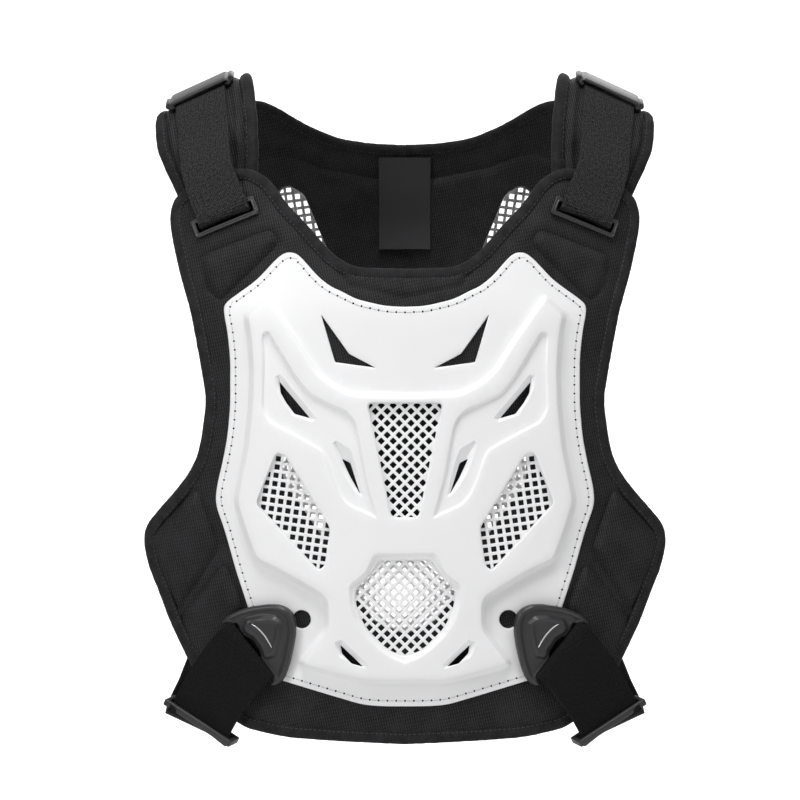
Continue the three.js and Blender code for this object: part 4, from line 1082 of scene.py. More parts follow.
FRONT_DRAWING = {
    "outline": PLATE_OUTLINE, "raised": RAISED_OUTLINE, "channels": [CHANNEL], "vents": VENTS,
    "windows": [(CENTRE_WINDOW, True), (SHIELD_WINDOW, True), (SIDE_WINDOW, False)],
    "nets": [(45, 0.0), (45, 1.2), (8, 0.0)],
    "recess": SHIELD_RECESS, "keyholes": [KEYHOLE],
}
BACK_DRAWING = {
    "outline": BACK_PLATE_OUTLINE, "raised": BACK_RAISED_OUTLINE, "channels": [], "vents": [],
    "windows": [(BACK_SHIELD, True), (BACK_SLANTED, False), (BACK_SIDE, False)],
    "nets": [(45, 0.0), (-8, 0.0), (8, 0.0)],
    "keyholes": [],
}


# Padding

def ripple(flat, size, seed):
    """A slow unevenness between -1 and 1."""
    return np.array([noise.noise(Vector((x / size, seed, z / size))) for x, z in flat])


def foam_height(rim):
    """Half the foam's thickness, thinned to a hem under the binding, by the distance from the edge."""
    return HEM / 2 + (FOAM - HEM) / 2 * ramp((rim - TAPE_WIDTH) / 6, 0.3)


def build_front_panel(settings):
    """The padded chest panel: hem, moulded pads, pressed lines and openings behind the nets."""
    emboss, groove = settings.emboss / MM, settings.groove / MM
    outline = drawn(inset(FRONT_OUTLINE_WHOLE, TAPE_WALL + GAP), 2, 3.0, halved=False)
    pads = [drawn(shape, 5, 3.0, halved=False) for shape in FRONT_PADS]
    collar = drawn(COLLAR_PAD, 3, 3.0)
    openings = [
        drawn(SHIELD_WINDOW, 4, 2.5), *both([drawn(SIDE_WINDOW, 4, 2.5, halved=False)]),
        *both([slot_hole()]),
    ]

    def top(flat, edge):
        mid = folded(flat)
        height = foam_height(inside_distance(outline, mid))
        for pad in pads:
            away = inside_distance(pad, mid)
            height += emboss * ramp(away / 5, 0.25) - groove * groove_at(away + 1.2, 1.9)
        away = inside_distance(collar, mid)
        height += 0.5 * emboss * ramp(away / 4, 0.3) - 0.6 * groove * groove_at(away + 1, 1.8)
        height += 0.5 * ripple(mid, 26, 0.0) + 0.2 * ripple(mid, 9, 4.0)
        return height

    def bottom(flat, edge, outer):
        return -foam_height(inside_distance(outline, folded(flat)))

    contours = creases(outline, TAPE_WIDTH - 1, TAPE_WIDTH + 3, TAPE_WIDTH + 7)
    for pad in pads:
        contours += creases(pad, -3, -1.2, 0.6, 2.6, 5)
    contours += creases(collar, -2.5, -1, 0.8, 3)
    piece = panel_piece("front_padding", on_panel("front"), outline, contours, openings, top, bottom)
    smooth(piece, 50)
    dress(piece, finish_of("knitted_mesh", knitted_mesh, settings), "padding", "front_panel", padding=0.7)


def build_back_panel(settings):
    """The padded back panel, with the pressed line of its lining and openings behind the nets."""
    groove = settings.groove / MM
    outline = drawn(inset(BACK_OUTLINE_WHOLE, TAPE_WALL + GAP), 2, 3.0, halved=False)
    lining = drawn(LINING_PAD, 5, 3.0)
    openings = [
        drawn(BACK_SHIELD, 4, 2.5),
        *both([drawn(shape, 4, 2.5, halved=False) for shape in (BACK_SLANTED, BACK_SIDE)]),
    ]

    def top(flat, edge):
        height = foam_height(inside_distance(outline, folded(flat)))
        return height + 0.5 * ripple(flat, 28, 7.0)

    def bottom(flat, edge, outer):
        away = inside_distance(lining, flat)
        height = foam_height(inside_distance(outline, folded(flat)))
        height += 1.6 * ramp(away / 6, 0.25) - groove * groove_at(away + 1.5, 2.2)
        return -(height + 0.35 * ripple(flat, 22, 11.0))

    contours = creases(outline, TAPE_WIDTH - 1, TAPE_WIDTH + 3, TAPE_WIDTH + 7)
    contours += creases(lining, -3.5, -1.5, 0.8, 3, 6)
    piece = panel_piece("back_padding", on_panel("rear"), outline, contours, openings, top, bottom, 5.0)
    smooth(piece, 50)
    dress(piece, finish_of("knitted_mesh", knitted_mesh, settings), "padding", "back_panel", padding=0.7)


FRONT_OUTLINE_WHOLE = drawn(FRONT_OUTLINE, 9, 4.0)
BACK_OUTLINE_WHOLE = drawn(BACK_OUTLINE, 9, 4.0)
# The binding is laid in steps of this length, and its section is this long from edge to edge
BINDING_STEP = 1.6
SECTION_LENGTH = 26.0
# Section of a binding: distance in from the edge, height from the middle, and share of the pucker
BINDING_SECTION = [
    (8.5, 2.75, 0.0), (7.7, 3.35, 0.4), (6.4, 3.95, 1.0), (4.6, 4.3, 1.0), (2.7, 4.2, 1.0),
    (1.1, 3.4, 1.0), (0.2, 1.9, 0.8), (-0.1, 0.0, 0.7), (0.2, -1.9, 0.8), (1.1, -3.4, 1.0),
    (2.7, -4.2, 1.0), (4.6, -4.3, 1.0), (6.4, -3.95, 1.0), (7.7, -3.35, 0.4), (8.5, -2.75, 0.0),
    (6.5, -2.65, 0.0), (2.0, -2.6, 0.0), (2.0, 2.6, 0.0), (6.5, 2.65, 0.0),
]


def build_binding(name, node_name, lay, outline, settings, seed, section=None):
    """A gathered knitted binding round an outline, with a row of stitches on either face."""
    section = section or BINDING_SECTION
    spots, ways = spaced(outline, BINDING_STEP)
    inwards = np.stack([-ways[:, 1], ways[:, 0]], axis=1) * turning(outline)
    pucker = settings.pucker / MM
    columns = []
    for distance, height, share in [*section, section[0]]:
        swell = np.array([
            noise.noise(Vector((k * BINDING_STEP / 5.2, seed, height / 9)))
            + 0.5 * noise.noise(Vector((k * BINDING_STEP / 2.3, seed + 5, height / 6)))
            for k in range(len(spots))
        ]) * pucker * share
        level = math.copysign(1, height) if abs(height) > 0.5 else 0
        flat = spots + inwards * (distance - swell * (0.4 if level else 1.0))[:, None]
        columns.append(lay(flat, np.full(len(spots), float(height)) + swell * level))
    rows = np.stack(columns, axis=1)
    rows = np.concatenate([rows, rows[:1]])
    lengths = (SECTION_LENGTH, np.arange(len(rows)) * BINDING_STEP)
    piece = laid_grid(name, rows, lengths, closed=True)
    smooth(piece, 60)
    dress(piece, finish_of("knitted_binding", knitted_binding, settings), "edge_tape", node_name)
    seam, seam_ways = spaced(inset(outline, section[1][0] - 0.5), 3.4)
    thread = finish_of("dark_thread", sewing_thread, "dark_thread", "#4A4A4C")
    for side, where in ((1, "outer"), (-1, "inner")):
        heights = np.full(len(seam), side * (section[1][1] + 0.25))
        frames = frames_on(lay, seam, seam_ways, heights)
        stitches(f"{name}_{where}_stitches", *frames, (2.4, 0.55, 0.5), thread, "edge_tape")


# Shoulders

ARCH_ROWS = [
    {"on": "front", "across": 132.5, "up": -92.8, "offset": 14.1, "half": 25.2, "tilt": 18},
    {"on": "front", "across": 138.2, "up": -53.3, "offset": 15.6, "half": 31.1, "tilt": 20},
    {"on": None, "across": 145.9, "forward": 36.8, "up": -18.2, "half": 37.0, "tilt": 23, "turn": -12},
    {"on": None, "across": 149.0, "forward": 20.0, "up": 5.2, "half": 37.0, "tilt": 25, "turn": -6},
    {"on": None, "across": 149.8, "forward": 0.0, "up": 13.0, "half": 35.2, "tilt": 25, "turn": 0},
    {"on": None, "across": 149.8, "forward": -25.2, "up": 11.1, "half": 34.4, "tilt": 25, "turn": 14},
    {"on": "rear", "across": 148.8, "up": -4.7, "offset": 18.1, "half": 33.3, "tilt": 24},
    {"on": "rear", "across": 147.1, "up": -32.4, "offset": 15.5, "half": 31.1, "tilt": 20},
    {"on": "rear", "across": 144.5, "up": -64.7, "offset": 13.1, "half": 28.1, "tilt": 17},
]
SHOULDER_HALF = 20.0
# The binding rolls out past the pad's firm core
PAD_SPREAD = 3.0
# The length of a pad's rounded end, and how square its curve is
PAD_END = 24.0
PAD_END_POWER = 2.6


def slope_of(panel, x, z, way, step):
    ahead = middle_of(panel, x + step * way[0], z + step * way[1])
    return (ahead - middle_of(panel, x - step * way[0], z - step * way[1])) / (2 * step)


def row_on(name, x, z, offset, tilt, half):
    """A row on a panel, an offset along +Y from its middle, with its inner end tilted high."""
    panel = PANELS[name]
    way = (math.cos(math.radians(tilt)), -math.sin(math.radians(tilt)))
    slope = slope_of(panel, x, z, way, SHOULDER_HALF)
    return {
        "point": (x, float(middle_of(panel, x, z)) + offset, z),
        "across": Vector((way[0], float(slope), way[1])).normalized(), "half": half,
    }


def arch_sections(steps):
    rows = []
    for row in ARCH_ROWS:
        if row["on"]:
            rows.append(row_on(row["on"], row["across"], row["up"], row["offset"], row["tilt"], row["half"]))
            continue
        turn = math.radians(row["turn"])
        across = Vector((math.cos(turn), -math.sin(turn), -math.tan(math.radians(row["tilt"]))))
        rows.append({
            "point": (row["across"], -row["forward"], row["up"]), "across": across.normalized(),
            "half": row["half"],
        })
    return sections_along(rows, steps)


def arch_outline(sections):
    """The pad's plan: its width along the arch, with rounded ends."""
    run = run_of(sections)
    total = run[-1]
    at = np.concatenate([
        np.linspace(0, PAD_END, 12), np.arange(PAD_END + 4, total - PAD_END - 3, 4.0),
        np.linspace(total - PAD_END, total, 12),
    ])
    half = np.interp(at, run, [s["half"] for s in sections])
    near = np.minimum(at, total - at)
    taper = np.clip(1 - near / PAD_END, 0, 1)
    half += PAD_SPREAD * np.clip(near / 60, 0, 1)
    half *= 0.45 + 0.55 * (1 - taper ** PAD_END_POWER) ** (1 / PAD_END_POWER)
    side = np.stack([half, at], axis=1)
    return np.vstack([side, (side * (-1, 1))[::-1]])


def build_shoulder_pads(settings):
    """The padded arches over the shoulders, with their bindings."""
    sections = arch_sections(96)
    lay = on_sections(sections)
    outline = divided(rounded(arch_outline(sections), 3), 3.0)
    fabric = inset(outline, 2.0)
    material = finish_of("knitted_mesh", knitted_mesh, settings)

    def swell(flat):
        away = inside_distance(outline, flat)
        rise = 2.6 + (PAD_THICKNESS / 2 - 2.6) * ramp((away - 8.0) / 5.0, 0.35)
        bead = 0.9 * groove_at(away - 13.0, 2.4) - 1.1 * groove_at(away - 17.5, 1.5)
        return rise - 1.4 * groove_at(away - 9.2, 1.3) + bead

    def top(flat, edge):
        return swell(flat) + 0.25 * ripple(flat, 12, 3.0)

    def bottom(flat, edge, outer):
        return -swell(flat)

    contours = creases(outline, 7.5, 9.2, 11, 13, 15.2, 17.5, 19.5)
    pad = panel_piece("left_shoulder_padding", lay, fabric, contours, [], top, bottom, 3.5, halved=False)
    smooth(pad, 60)
    dress(pad, material, "padding", "left_shoulder_pad", padding=0.7)
    add_right_twin(pad, "padding", "right_shoulder_pad", padding=0.7)

    roll = [(d, h * 0.98, share) for d, h, share in BINDING_SECTION]
    build_binding("left_shoulder_binding", "left_shoulder_tape", lay, outline, settings, 21.0, roll)
    for kind, nodes in (("", ("right_shoulder_tape",)), ("_outer_stitches", ()), ("_inner_stitches", ())):
        add_right_twin(bpy.data.objects[f"left_shoulder_binding{kind}"], "edge_tape", *nodes)


# Slot frames and shoulder straps

SLOT_CENTRE = (130.9, -81.2)
SLOT_LENGTH, SLOT_HEIGHT, SLOT_BAR, SLOT_WALL, SLOT_TILT = 50.0, 14.0, 3.2, 3.0, 21.0


def tilted_box(half_length, half_height):
    c, s = math.cos(math.radians(SLOT_TILT)), math.sin(math.radians(SLOT_TILT))
    corners = points([(-1, -1), (1, -1), (1, 1), (-1, 1)]) * (half_length, half_height)
    return corners @ points([(c, -s), (s, c)]) + SLOT_CENTRE


def slot_hole():
    return divided(tilted_box(SLOT_LENGTH / 2 - SLOT_BAR, SLOT_HEIGHT / 2 - SLOT_BAR), 3.0)


def build_slot_frames(settings):
    """The frames in the shoulder lobes: a ring with a raised, rounded rim."""
    outline = divided(rounded(tilted_box(SLOT_LENGTH / 2, SLOT_HEIGHT / 2), 2.5), 2.0)
    hole = divided(rounded(tilted_box(SLOT_LENGTH / 2 - SLOT_BAR, SLOT_HEIGHT / 2 - SLOT_BAR), 1.2), 2.0)
    base = FOAM / 2 + GAP

    def top(flat, edge):
        return base + SLOT_WALL - lip_drop(edge, 0.8) - 0.5 * groove_at(edge - SLOT_BAR / 2, 0.45)

    def bottom(flat, edge, outer):
        return np.full(len(flat), base)

    contours = creases(outline, 0.15, 0.45, 0.9, 1.25, 1.6, 1.95, 2.3, 2.75, 3.05)
    ring = panel_piece(
        "left_slot_ring", on_panel("front"), outline, contours, [hole], top, bottom, 2.0, halved=False,
    )
    smooth(ring, 50)
    material = finish_of("grained_acetal", grained_acetal, settings)
    dress(ring, material, "black_moulding", "left_slot_frame")
    add_right_twin(ring, "black_moulding", "right_slot_frame")


# The strap's slack over the pad
STRAP_EASE = 1.4
STRAP_LIFT = PAD_THICKNESS / 2 + STRAP_EASE + STRAP_WALL / 2
STRAP_OUT = FOAM / 2 + GAP + STRAP_WALL / 2
STRAP_FRONT = STRAP_OUT + GAP + SLOT_WALL
ARCH_STEPS = 16
# The arch's section where the strap leaves the pad, and the one that carries the clip
LEAVES_PAD = 4
CLIP_AT = 7


def shoulder_strap_sections(steps):
    """Cross-sections from the back panel, over the pad and through the slot."""
    arch = arch_sections(ARCH_STEPS)
    on_arch = [lifted(section, STRAP_LIFT, SHOULDER_HALF) for section in arch]
    rear_x = 0.84 * PANELS["rear"]["half"]
    back = [
        row_on("rear", rear_x, BACK_TOP - down * BACK_HEIGHT, offset, 15, SHOULDER_HALF)
        for down, offset in (
            (0.262, STRAP_OUT + STRAP_EASE), (0.225, STRAP_OUT + STRAP_EASE), (0.19, 18.3),
        )
    ]
    tilt = math.radians(SLOT_TILT)

    def through(up, offset):
        x = SLOT_CENTRE[0] + up * SLOT_HEIGHT * math.sin(tilt)
        z = SLOT_CENTRE[1] + up * SLOT_HEIGHT * math.cos(tilt)
        return row_on("front", x, z, offset, SLOT_TILT, SHOULDER_HALF)

    slot_rows = [on_arch[LEAVES_PAD]] + [through(up, offset) for up, offset in (
        (2.57, -STRAP_OUT - 2), (1.0, -STRAP_FRONT), (0.37, -STRAP_FRONT - GAP),
        (0.07, 2 - STRAP_FRONT), (-0.03, 0), (0.085, STRAP_OUT + GAP), (0.57, STRAP_OUT + GAP),
        (2.14, STRAP_OUT + GAP),
    )]
    coarse = [
        *sections_along([*back, on_arch[-1]], 6)[:-1],
        *backwards(on_arch[LEAVES_PAD:]),
        *sections_along(slot_rows, 20)[1:],
    ]
    return sections_along(coarse, steps * (len(coarse) - 1))


# Where the lines of a band's grid lie across it, close together at its edges
BAND_LINES = (-1, -0.965, -0.8, -0.4, 0, 0.4, 0.8, 0.965, 1)


def webbing_piece(name, sections, wall):
    """A woven band: a grid laid along the cross-sections, thickened and softened at its edges."""
    run = run_of(sections)
    rows = []
    for k, section in enumerate(sections):
        bow = 0.12 * noise.noise(Vector((run[k] / 30, 2.0, 0)))
        rows.append([
            np.array(section["point"] + section["across"] * float(u) * section["half"]
                     + section["out"] * bow * (1 - float(u) ** 2))
            for u in BAND_LINES
        ])
    width = 2 * sections[0]["half"]
    piece = laid_grid(name, rows, (width, run))
    for loop in piece.data.uv_layers[0].data:
        column = round(loop.uv[0] / width * (len(BAND_LINES) - 1))
        loop.uv[0] = (BAND_LINES[column] + 1) / 2 * width
    apply_modifier(piece, "SOLIDIFY", thickness=wall * MM, offset=0.0)
    bevel(piece, 0.45, 2, 60)
    smooth(piece, 50)
    return piece


def seam_on(name, sections, run_at, half):
    """A row of stitches across a band, at a distance along it."""
    lay = on_sections(sections)
    u = np.arange(-half + 2.5, half - 2.4, 2.6)
    spots = np.stack([u, np.full(len(u), run_at)], axis=1)
    ways = np.tile(points((1, 0)), (len(u), 1))
    frames = frames_on(lay, spots, ways, np.full(len(u), STRAP_WALL / 2 + 0.05))
    thread = finish_of("black_thread", sewing_thread, "black_thread", "#060607")
    return stitches(name, *frames, (2.4, 0.9, 0.6), thread, "webbing")


def build_shoulder_straps(settings):
    """The shoulder straps with the row of stitches that closes each loop."""
    sections = shoulder_strap_sections(3)
    material = finish_of("woven_elastic", woven_elastic, "woven_elastic", settings, settings.shade)
    strap = webbing_piece("left_shoulder_webbing", sections, STRAP_WALL)
    dress(strap, material, "webbing", "left_shoulder_strap")
    add_right_twin(strap, "webbing", "right_shoulder_strap")
    spot = next(k for k, s in enumerate(sections) if s["point"].y < -20 and s["point"].z < -28)
    seam = seam_on("left_strap_seam", sections, run_of(sections)[spot], SHOULDER_HALF)
    add_right_twin(seam, "webbing")


def section_matrix(section):
    """The frame of a cross-section: x across, y along, z out of the body."""
    columns = (section["across"], section["along"], section["out"])
    turn = Matrix([[c[i] for c in columns] for i in range(3)]).to_4x4()
    return Matrix.Translation(section["point"] * MM) @ turn


def build_shoulder_clips(settings):
    """Low bridges over the straps, each with a bevelled cover and a lug at either end."""
    arch = arch_sections(ARCH_STEPS)
    section = lifted(arch[CLIP_AT], PAD_THICKNESS / 2, 0)
    half, tunnel = 25.0, SHOULDER_HALF + 3 * GAP
    depth, chamfer = 24.0, 3.0
    leg_top = STRAP_EASE + STRAP_WALL + GAP
    top = leg_top + 3.0
    profile = [
        (-half, GAP), (-half, 0.6 * top), (chamfer - half, top), (half - chamfer, top),
        (half, 0.6 * top), (half, GAP), (tunnel, GAP), (tunnel, leg_top), (-tunnel, leg_top),
        (-tunnel, GAP),
    ]
    vertices = [(x, -depth / 2, z) for x, z in profile]
    clip = new_piece("left_clip_bridge", vertices, [tuple(range(len(profile)))])
    in_edit_mode(
        clip,
        (bpy.ops.mesh.extrude_region_move, {"TRANSFORM_OT_translate": {"value": (0, depth * MM, 0)}}),
        (bpy.ops.mesh.normals_make_consistent, {"inside": False}),
    )
    bevel(clip, 1.4, 3, 40)
    lugs = []
    for end in (-1, 1):
        clear_selection()
        place = (end * (half + 0.6) * MM, 0, 0.55 * top * MM)
        bpy.ops.mesh.primitive_cylinder_add(
            vertices=20, radius=2.3 * MM, depth=17 * MM, location=place, rotation=(math.pi / 2, 0, 0),
        )
        bpy.ops.object.transform_apply(location=True, rotation=True, scale=True)
        lugs.append(bpy.context.object)
        bevel(lugs[-1], 0.6, 2, 60)
    joined([clip, *lugs])
    clip.data.transform(section_matrix(section))
    smooth(clip, 40)
    material = finish_of("grained_acetal", grained_acetal, settings)
    dress(clip, material, "black_moulding", "left_shoulder_clip")
    add_right_twin(clip, "black_moulding", "right_shoulder_clip")


# Side buckles, straps and sliders

BUCKLE_EDGE = (112.3, -396.5)
EDGE_WAY = points((0.635, 0.772)) / math.hypot(0.635, 0.772)
IN_WAY = points((-EDGE_WAY[1], EDGE_WAY[0]))
# How far the buckle reaches in from its edge
BUCKLE_REACH = 43.0
# The buckle leans back, so its drawing from the front is a little too short
BUCKLE_STRETCH = 1.06
BUCKLE_BAR = 5.0
BAR_WALL = 3.0
BUCKLE_BACK = -(FOAM / 2 + GAP + PLATE_WALL + GAP + 1.4)
SIDE_HALF = 25.0
BAR_TURN = math.sqrt(0.5) * BAR_WALL + GAP + SIDE_WALL / 2
BAR_MIDDLE = BUCKLE_BACK - SIDE_WALL / 2 - BAR_TURN


def buckle_frame():
    """The buckle's own frame: x along its edge, y out of the body reversed, z to the middle."""
    panel = PANELS["front"]
    centre = points(BUCKLE_EDGE) + IN_WAY * BUCKLE_REACH / 2
    along, inwards = (
        Vector((way[0], float(slope_of(panel, *centre, way, BUCKLE_REACH / 2)), way[1]))
        for way in (EDGE_WAY, IN_WAY)
    )
    along.normalize()
    inwards = (inwards - along * inwards.dot(along)).normalized()
    origin = Vector((centre[0], float(middle_of(panel, *centre)), centre[1])) - inwards * BUCKLE_REACH / 2
    return origin, along, inwards.cross(along), inwards


def on_buckle(along, inwards, offset):
    origin, x_way, y_way, z_way = buckle_frame()
    return origin + x_way * along + y_way * offset + z_way * inwards


def lay_on_buckle(flat, heights):
    """Lays a drawing of x along the edge and z inwards, at heights in front of the foam."""
    origin, x_way, y_way, z_way = (np.array(v) for v in buckle_frame())
    inwards = flat[:, 1:] * BUCKLE_STRETCH * z_way
    return origin + flat[:, :1] * x_way + inwards - heights[:, None] * y_way


lay_on_buckle.turn = True

# The buckle's drawing: x along its outer edge from the strap's middle, z towards the plate's middle
BUCKLE_OUTLINE = points([
    (29.5, 2.5), (30, 8.5), (27.4, 17), (23.8, 24.8), (17.3, 35), (11.7, 41), (6, 44), (0.4, 44.4),
    (-5.7, 42), (-12, 36.8), (-18.5, 29.2), (-25.2, 20.5), (-30, 12.3), (-31.4, 7.4), (-30.4, 3),
    (-28, 0), (-26, 4.6), (26, 4.6), (27.8, 0),
])
BUCKLE_BODY = points([
    (20, 17), (14.5, 27.7), (7, 35), (0.2, 36.3), (-5.5, 31.4), (-16, 17), (-12.6, 10), (-9.4, 9),
    (-4, 11.5), (5, 12.4), (10.7, 9.7), (16.5, 10),
])
BUCKLE_RECESS = points([
    (15.2, 16.6), (14.5, 21.3), (6.6, 31.6), (1.6, 32.6), (-3.4, 28.6), (-10.4, 18.4), (-4, 18.6),
    (2, 19.2), (9, 18.4),
])
BUCKLE_SLOT = points([
    (-25, 5.6), (25, 5.6), (21.5, 10), (17, 8.8), (10.7, 8.5), (5, 11.2), (-4, 10.3), (-9.4, 7.9),
    (-25, 7.6),
])
# Heights of the buckle above its back: the flat rim, its rolled edge, the body and the recess in it
RIM_HEIGHT, RIM_ROLL, BODY_RISE, RECESS_DROP = 4.2, 1.6, 3.6, 1.2
# The buckle grows thicker towards its tip by this share of the way from the crown line
CROWN_SLOPE, CROWN_LINE = 0.045, 20
# The painted highlight's line, along the edge of the buckle's recess
PAINTED_HIGHLIGHT_LINE = [(13.6, 18.6), (9, 20.2), (2, 20.8), (-3.6, 20.2), (-8.4, 19.2)]


def build_side_buckles(settings):
    """The hook buckles: a rounded rim, a raised body with a scalloped edge, and a painted highlight along the
    edge of its recess.
    """
    outline = divided(rounded(BUCKLE_OUTLINE, 2.2), 1.2)
    body = divided(rounded(BUCKLE_BODY, 2.0), 1.2)
    recess = divided(rounded(BUCKLE_RECESS, 2.0), 1.2)
    slot = divided(rounded(BUCKLE_SLOT, 1.6), 1.4)
    back = -BUCKLE_BACK

    def top(flat, edge):
        rim = inside_distance(outline, flat)
        roll = ramp((rim - 0.2) / 1.6, 0.3) * (1 - ramp((rim - 3.0) / 1.6, 0.2))
        height = back + RIM_HEIGHT + RIM_ROLL * roll
        height += BODY_RISE * ramp(inside_distance(body, flat) / 2.6, 0.2)
        height -= RECESS_DROP * ramp(inside_distance(recess, flat) / 1.3, 0.15)
        height += CROWN_SLOPE * (flat[:, 1] - CROWN_LINE)
        return height - lip_drop(edge, 0.9)

    def bottom(flat, edge, outer):
        return np.full(len(flat), back)

    contours = creases(outline, 0.2, 0.5, 1.0, 1.8, 3.0, 3.8, 4.6)
    contours += creases(body, -0.3, 0.5, 1.4, 2.4)
    contours += creases(recess, -0.2, 0.5, 1.2)
    contours += creases(slot, -0.2, -0.5, -1.0)
    buckle = panel_piece(
        "left_hook_buckle", lay_on_buckle, outline, contours, [slot], top, bottom, 1.8, halved=False,
    )
    smooth(buckle, 40)
    material = finish_of("grained_acetal", grained_acetal, settings)
    dress(buckle, material, "black_moulding", "left_side_buckle")
    add_right_twin(buckle, "black_moulding", "right_side_buckle")
    build_painted_highlights(back, settings)


def build_painted_highlights(back, settings):
    """A painted highlight: a bright line in the recess of each buckle, along its edge, thinner at its ends.
    """
    line = divided(rounded(points(PAINTED_HIGHLIGHT_LINE), 3, closed=False), 0.8, closed=False)
    ahead = np.gradient(line, axis=0)
    ahead /= np.linalg.norm(ahead, axis=1, keepdims=True)
    side = np.stack([-ahead[:, 1], ahead[:, 0]], axis=1)
    ends = np.sin(np.linspace(0.12, math.pi - 0.12, len(line)))[:, None] ** 0.5
    height = back + RIM_HEIGHT + BODY_RISE - RECESS_DROP + 0.35
    rows = []
    for u in (-1, -0.5, 0, 0.5, 1):
        flat = line + side * 0.42 * u * ends
        level = height + CROWN_SLOPE * (flat[:, 1] - CROWN_LINE) + 0.2 * (1 - u * u)
        rows.append(lay_on_buckle(flat, level))
    painted_highlight = laid_grid("left_painted_highlight", np.stack(rows, axis=1), (1.0, np.arange(len(line)) * 0.8))
    apply_modifier(painted_highlight, "SOLIDIFY", thickness=0.3 * MM, offset=0.0)
    smooth(painted_highlight, 60)
    dress(painted_highlight, finish_of("painted_highlight_finish", painted_highlight_finish, settings), "black_moulding")
    add_right_twin(painted_highlight, "black_moulding")


SLIDER_CENTRE = (148.4, -446.9)
SLIDER_WAY = points((0.906, 0.424)) / math.hypot(0.906, 0.424)
REAR_OFFSET = -(FOAM / 2 + GAP + SIDE_WALL / 2)
LAYER_STEP = SIDE_WALL + 2 * GAP
# How far the strap stands off the panel, and the share of its way where it runs straight again
BULGE = 1.8
NEAR_SLIDER = 0.9
# The strap curves out a little between the buckle and the slider
SIDE_BOW = points((2.8, 2.0))


# The free run under the arm: shares of the panels' half width and depth, the height in
# millimetres, and the way across the strap
FREE_RUN = [
    {"across": 0.79, "forward": 0.62, "up": -452.0, "way": (0.9, 0, 0.42)},
    {"across": 0.802, "forward": 0.343, "up": -452.0, "way": (0.85, 0, 0.5)},
    {"across": 0.815, "forward": -0.076, "up": -444.0, "way": (0.5, 0, 0.87)},
    {"across": 0.828, "forward": -0.457, "up": -424.0, "way": (0.12, -0.1, 0.98)},
]
# The end on the back panel: shares of its half width and height, and the room behind the strap
BACK_RUN = [
    {"across": 0.93, "down": 0.905, "clear": 5 * GAP, "way": (0.12, 0, 1)},
    {"across": 0.8, "down": 0.9, "clear": 0, "way": (0.05, 0, 1)},
]


def side_row(share, offset):
    """A row between the buckle's edge and the slider, by its share of the way."""
    panel = PANELS["front"]
    bow = 4 * share * (1 - share) * SIDE_BOW
    x, z = points(BUCKLE_EDGE) + share * (points(SLIDER_CENTRE) - BUCKLE_EDGE) + bow
    way = EDGE_WAY + (SLIDER_WAY - EDGE_WAY) * min(share, 1)
    way /= np.linalg.norm(way)
    slope = float(slope_of(panel, x, z, way, SIDE_HALF / 2))
    return {
        "point": (x, float(middle_of(panel, x, z)) + offset, z),
        "across": (way[0], slope, way[1]), "half": SIDE_HALF,
    }


def side_rows():
    """Rows of the side strap: up behind, round the buckle's bar, down in front, and to the back."""
    along = buckle_frame()[1]

    def at_buckle(inwards, offset):
        return {"point": on_buckle(0, inwards, offset), "across": along, "half": SIDE_HALF}

    straight = 0.8 * BUCKLE_BAR
    up = [
        side_row(1, REAR_OFFSET - 2 * GAP), side_row(NEAR_SLIDER, REAR_OFFSET - 2 * GAP),
        side_row(0.6, REAR_OFFSET - BULGE), at_buckle(-straight, BAR_MIDDLE + BAR_TURN),
    ]
    for turn in (-90, -45, 0, 45, 90):
        c, s = math.cos(math.radians(turn)), math.sin(math.radians(turn))
        up.append(at_buckle(BUCKLE_BAR - BAR_WALL / 2 + BAR_TURN * c, BAR_MIDDLE - BAR_TURN * s))
    down = [
        at_buckle(-straight, BAR_MIDDLE - BAR_TURN),
        side_row(0.6, REAR_OFFSET - BULGE - LAYER_STEP),
        side_row(NEAR_SLIDER, REAR_OFFSET - 2 * GAP - LAYER_STEP),
        side_row(1, REAR_OFFSET - 2 * GAP - LAYER_STEP),
    ]
    front, rear = PANELS["front"], PANELS["rear"]
    free = []
    for row in FREE_RUN:
        point = (row["across"] * front["half"], -row["forward"] * front["depth"], row["up"])
        free.append({"point": point, "across": row["way"], "half": SIDE_HALF})
    back = []
    for row in BACK_RUN:
        x, z = row["across"] * rear["half"], BACK_TOP - row["down"] * BACK_HEIGHT
        depth = float(middle_of(rear, x, z)) + FOAM / 2 + GAP + SIDE_WALL + row["clear"]
        back.append({"point": (x, depth, z), "across": row["way"], "half": SIDE_HALF})
    slider_row = len(up) + len(down) - 1
    return [*up, *down, side_row(1.04, REAR_OFFSET - LAYER_STEP), *free, *back], slider_row


def build_side_straps(settings):
    """The side straps, doubled at the buckles."""
    rows, _ = side_rows()
    sections = sections_along(rows, settings.steps * (len(rows) - 1))
    # The same woven elastic as the shoulder straps, with a darker colour
    name = "dense_woven_elastic"
    material = finish_of(name, woven_elastic, name, settings, settings.side_shade)
    strap = webbing_piece("left_side_webbing", sections, SIDE_WALL)
    dress(strap, material, "webbing", "left_side_strap")
    add_right_twin(strap, "webbing", "right_side_strap")


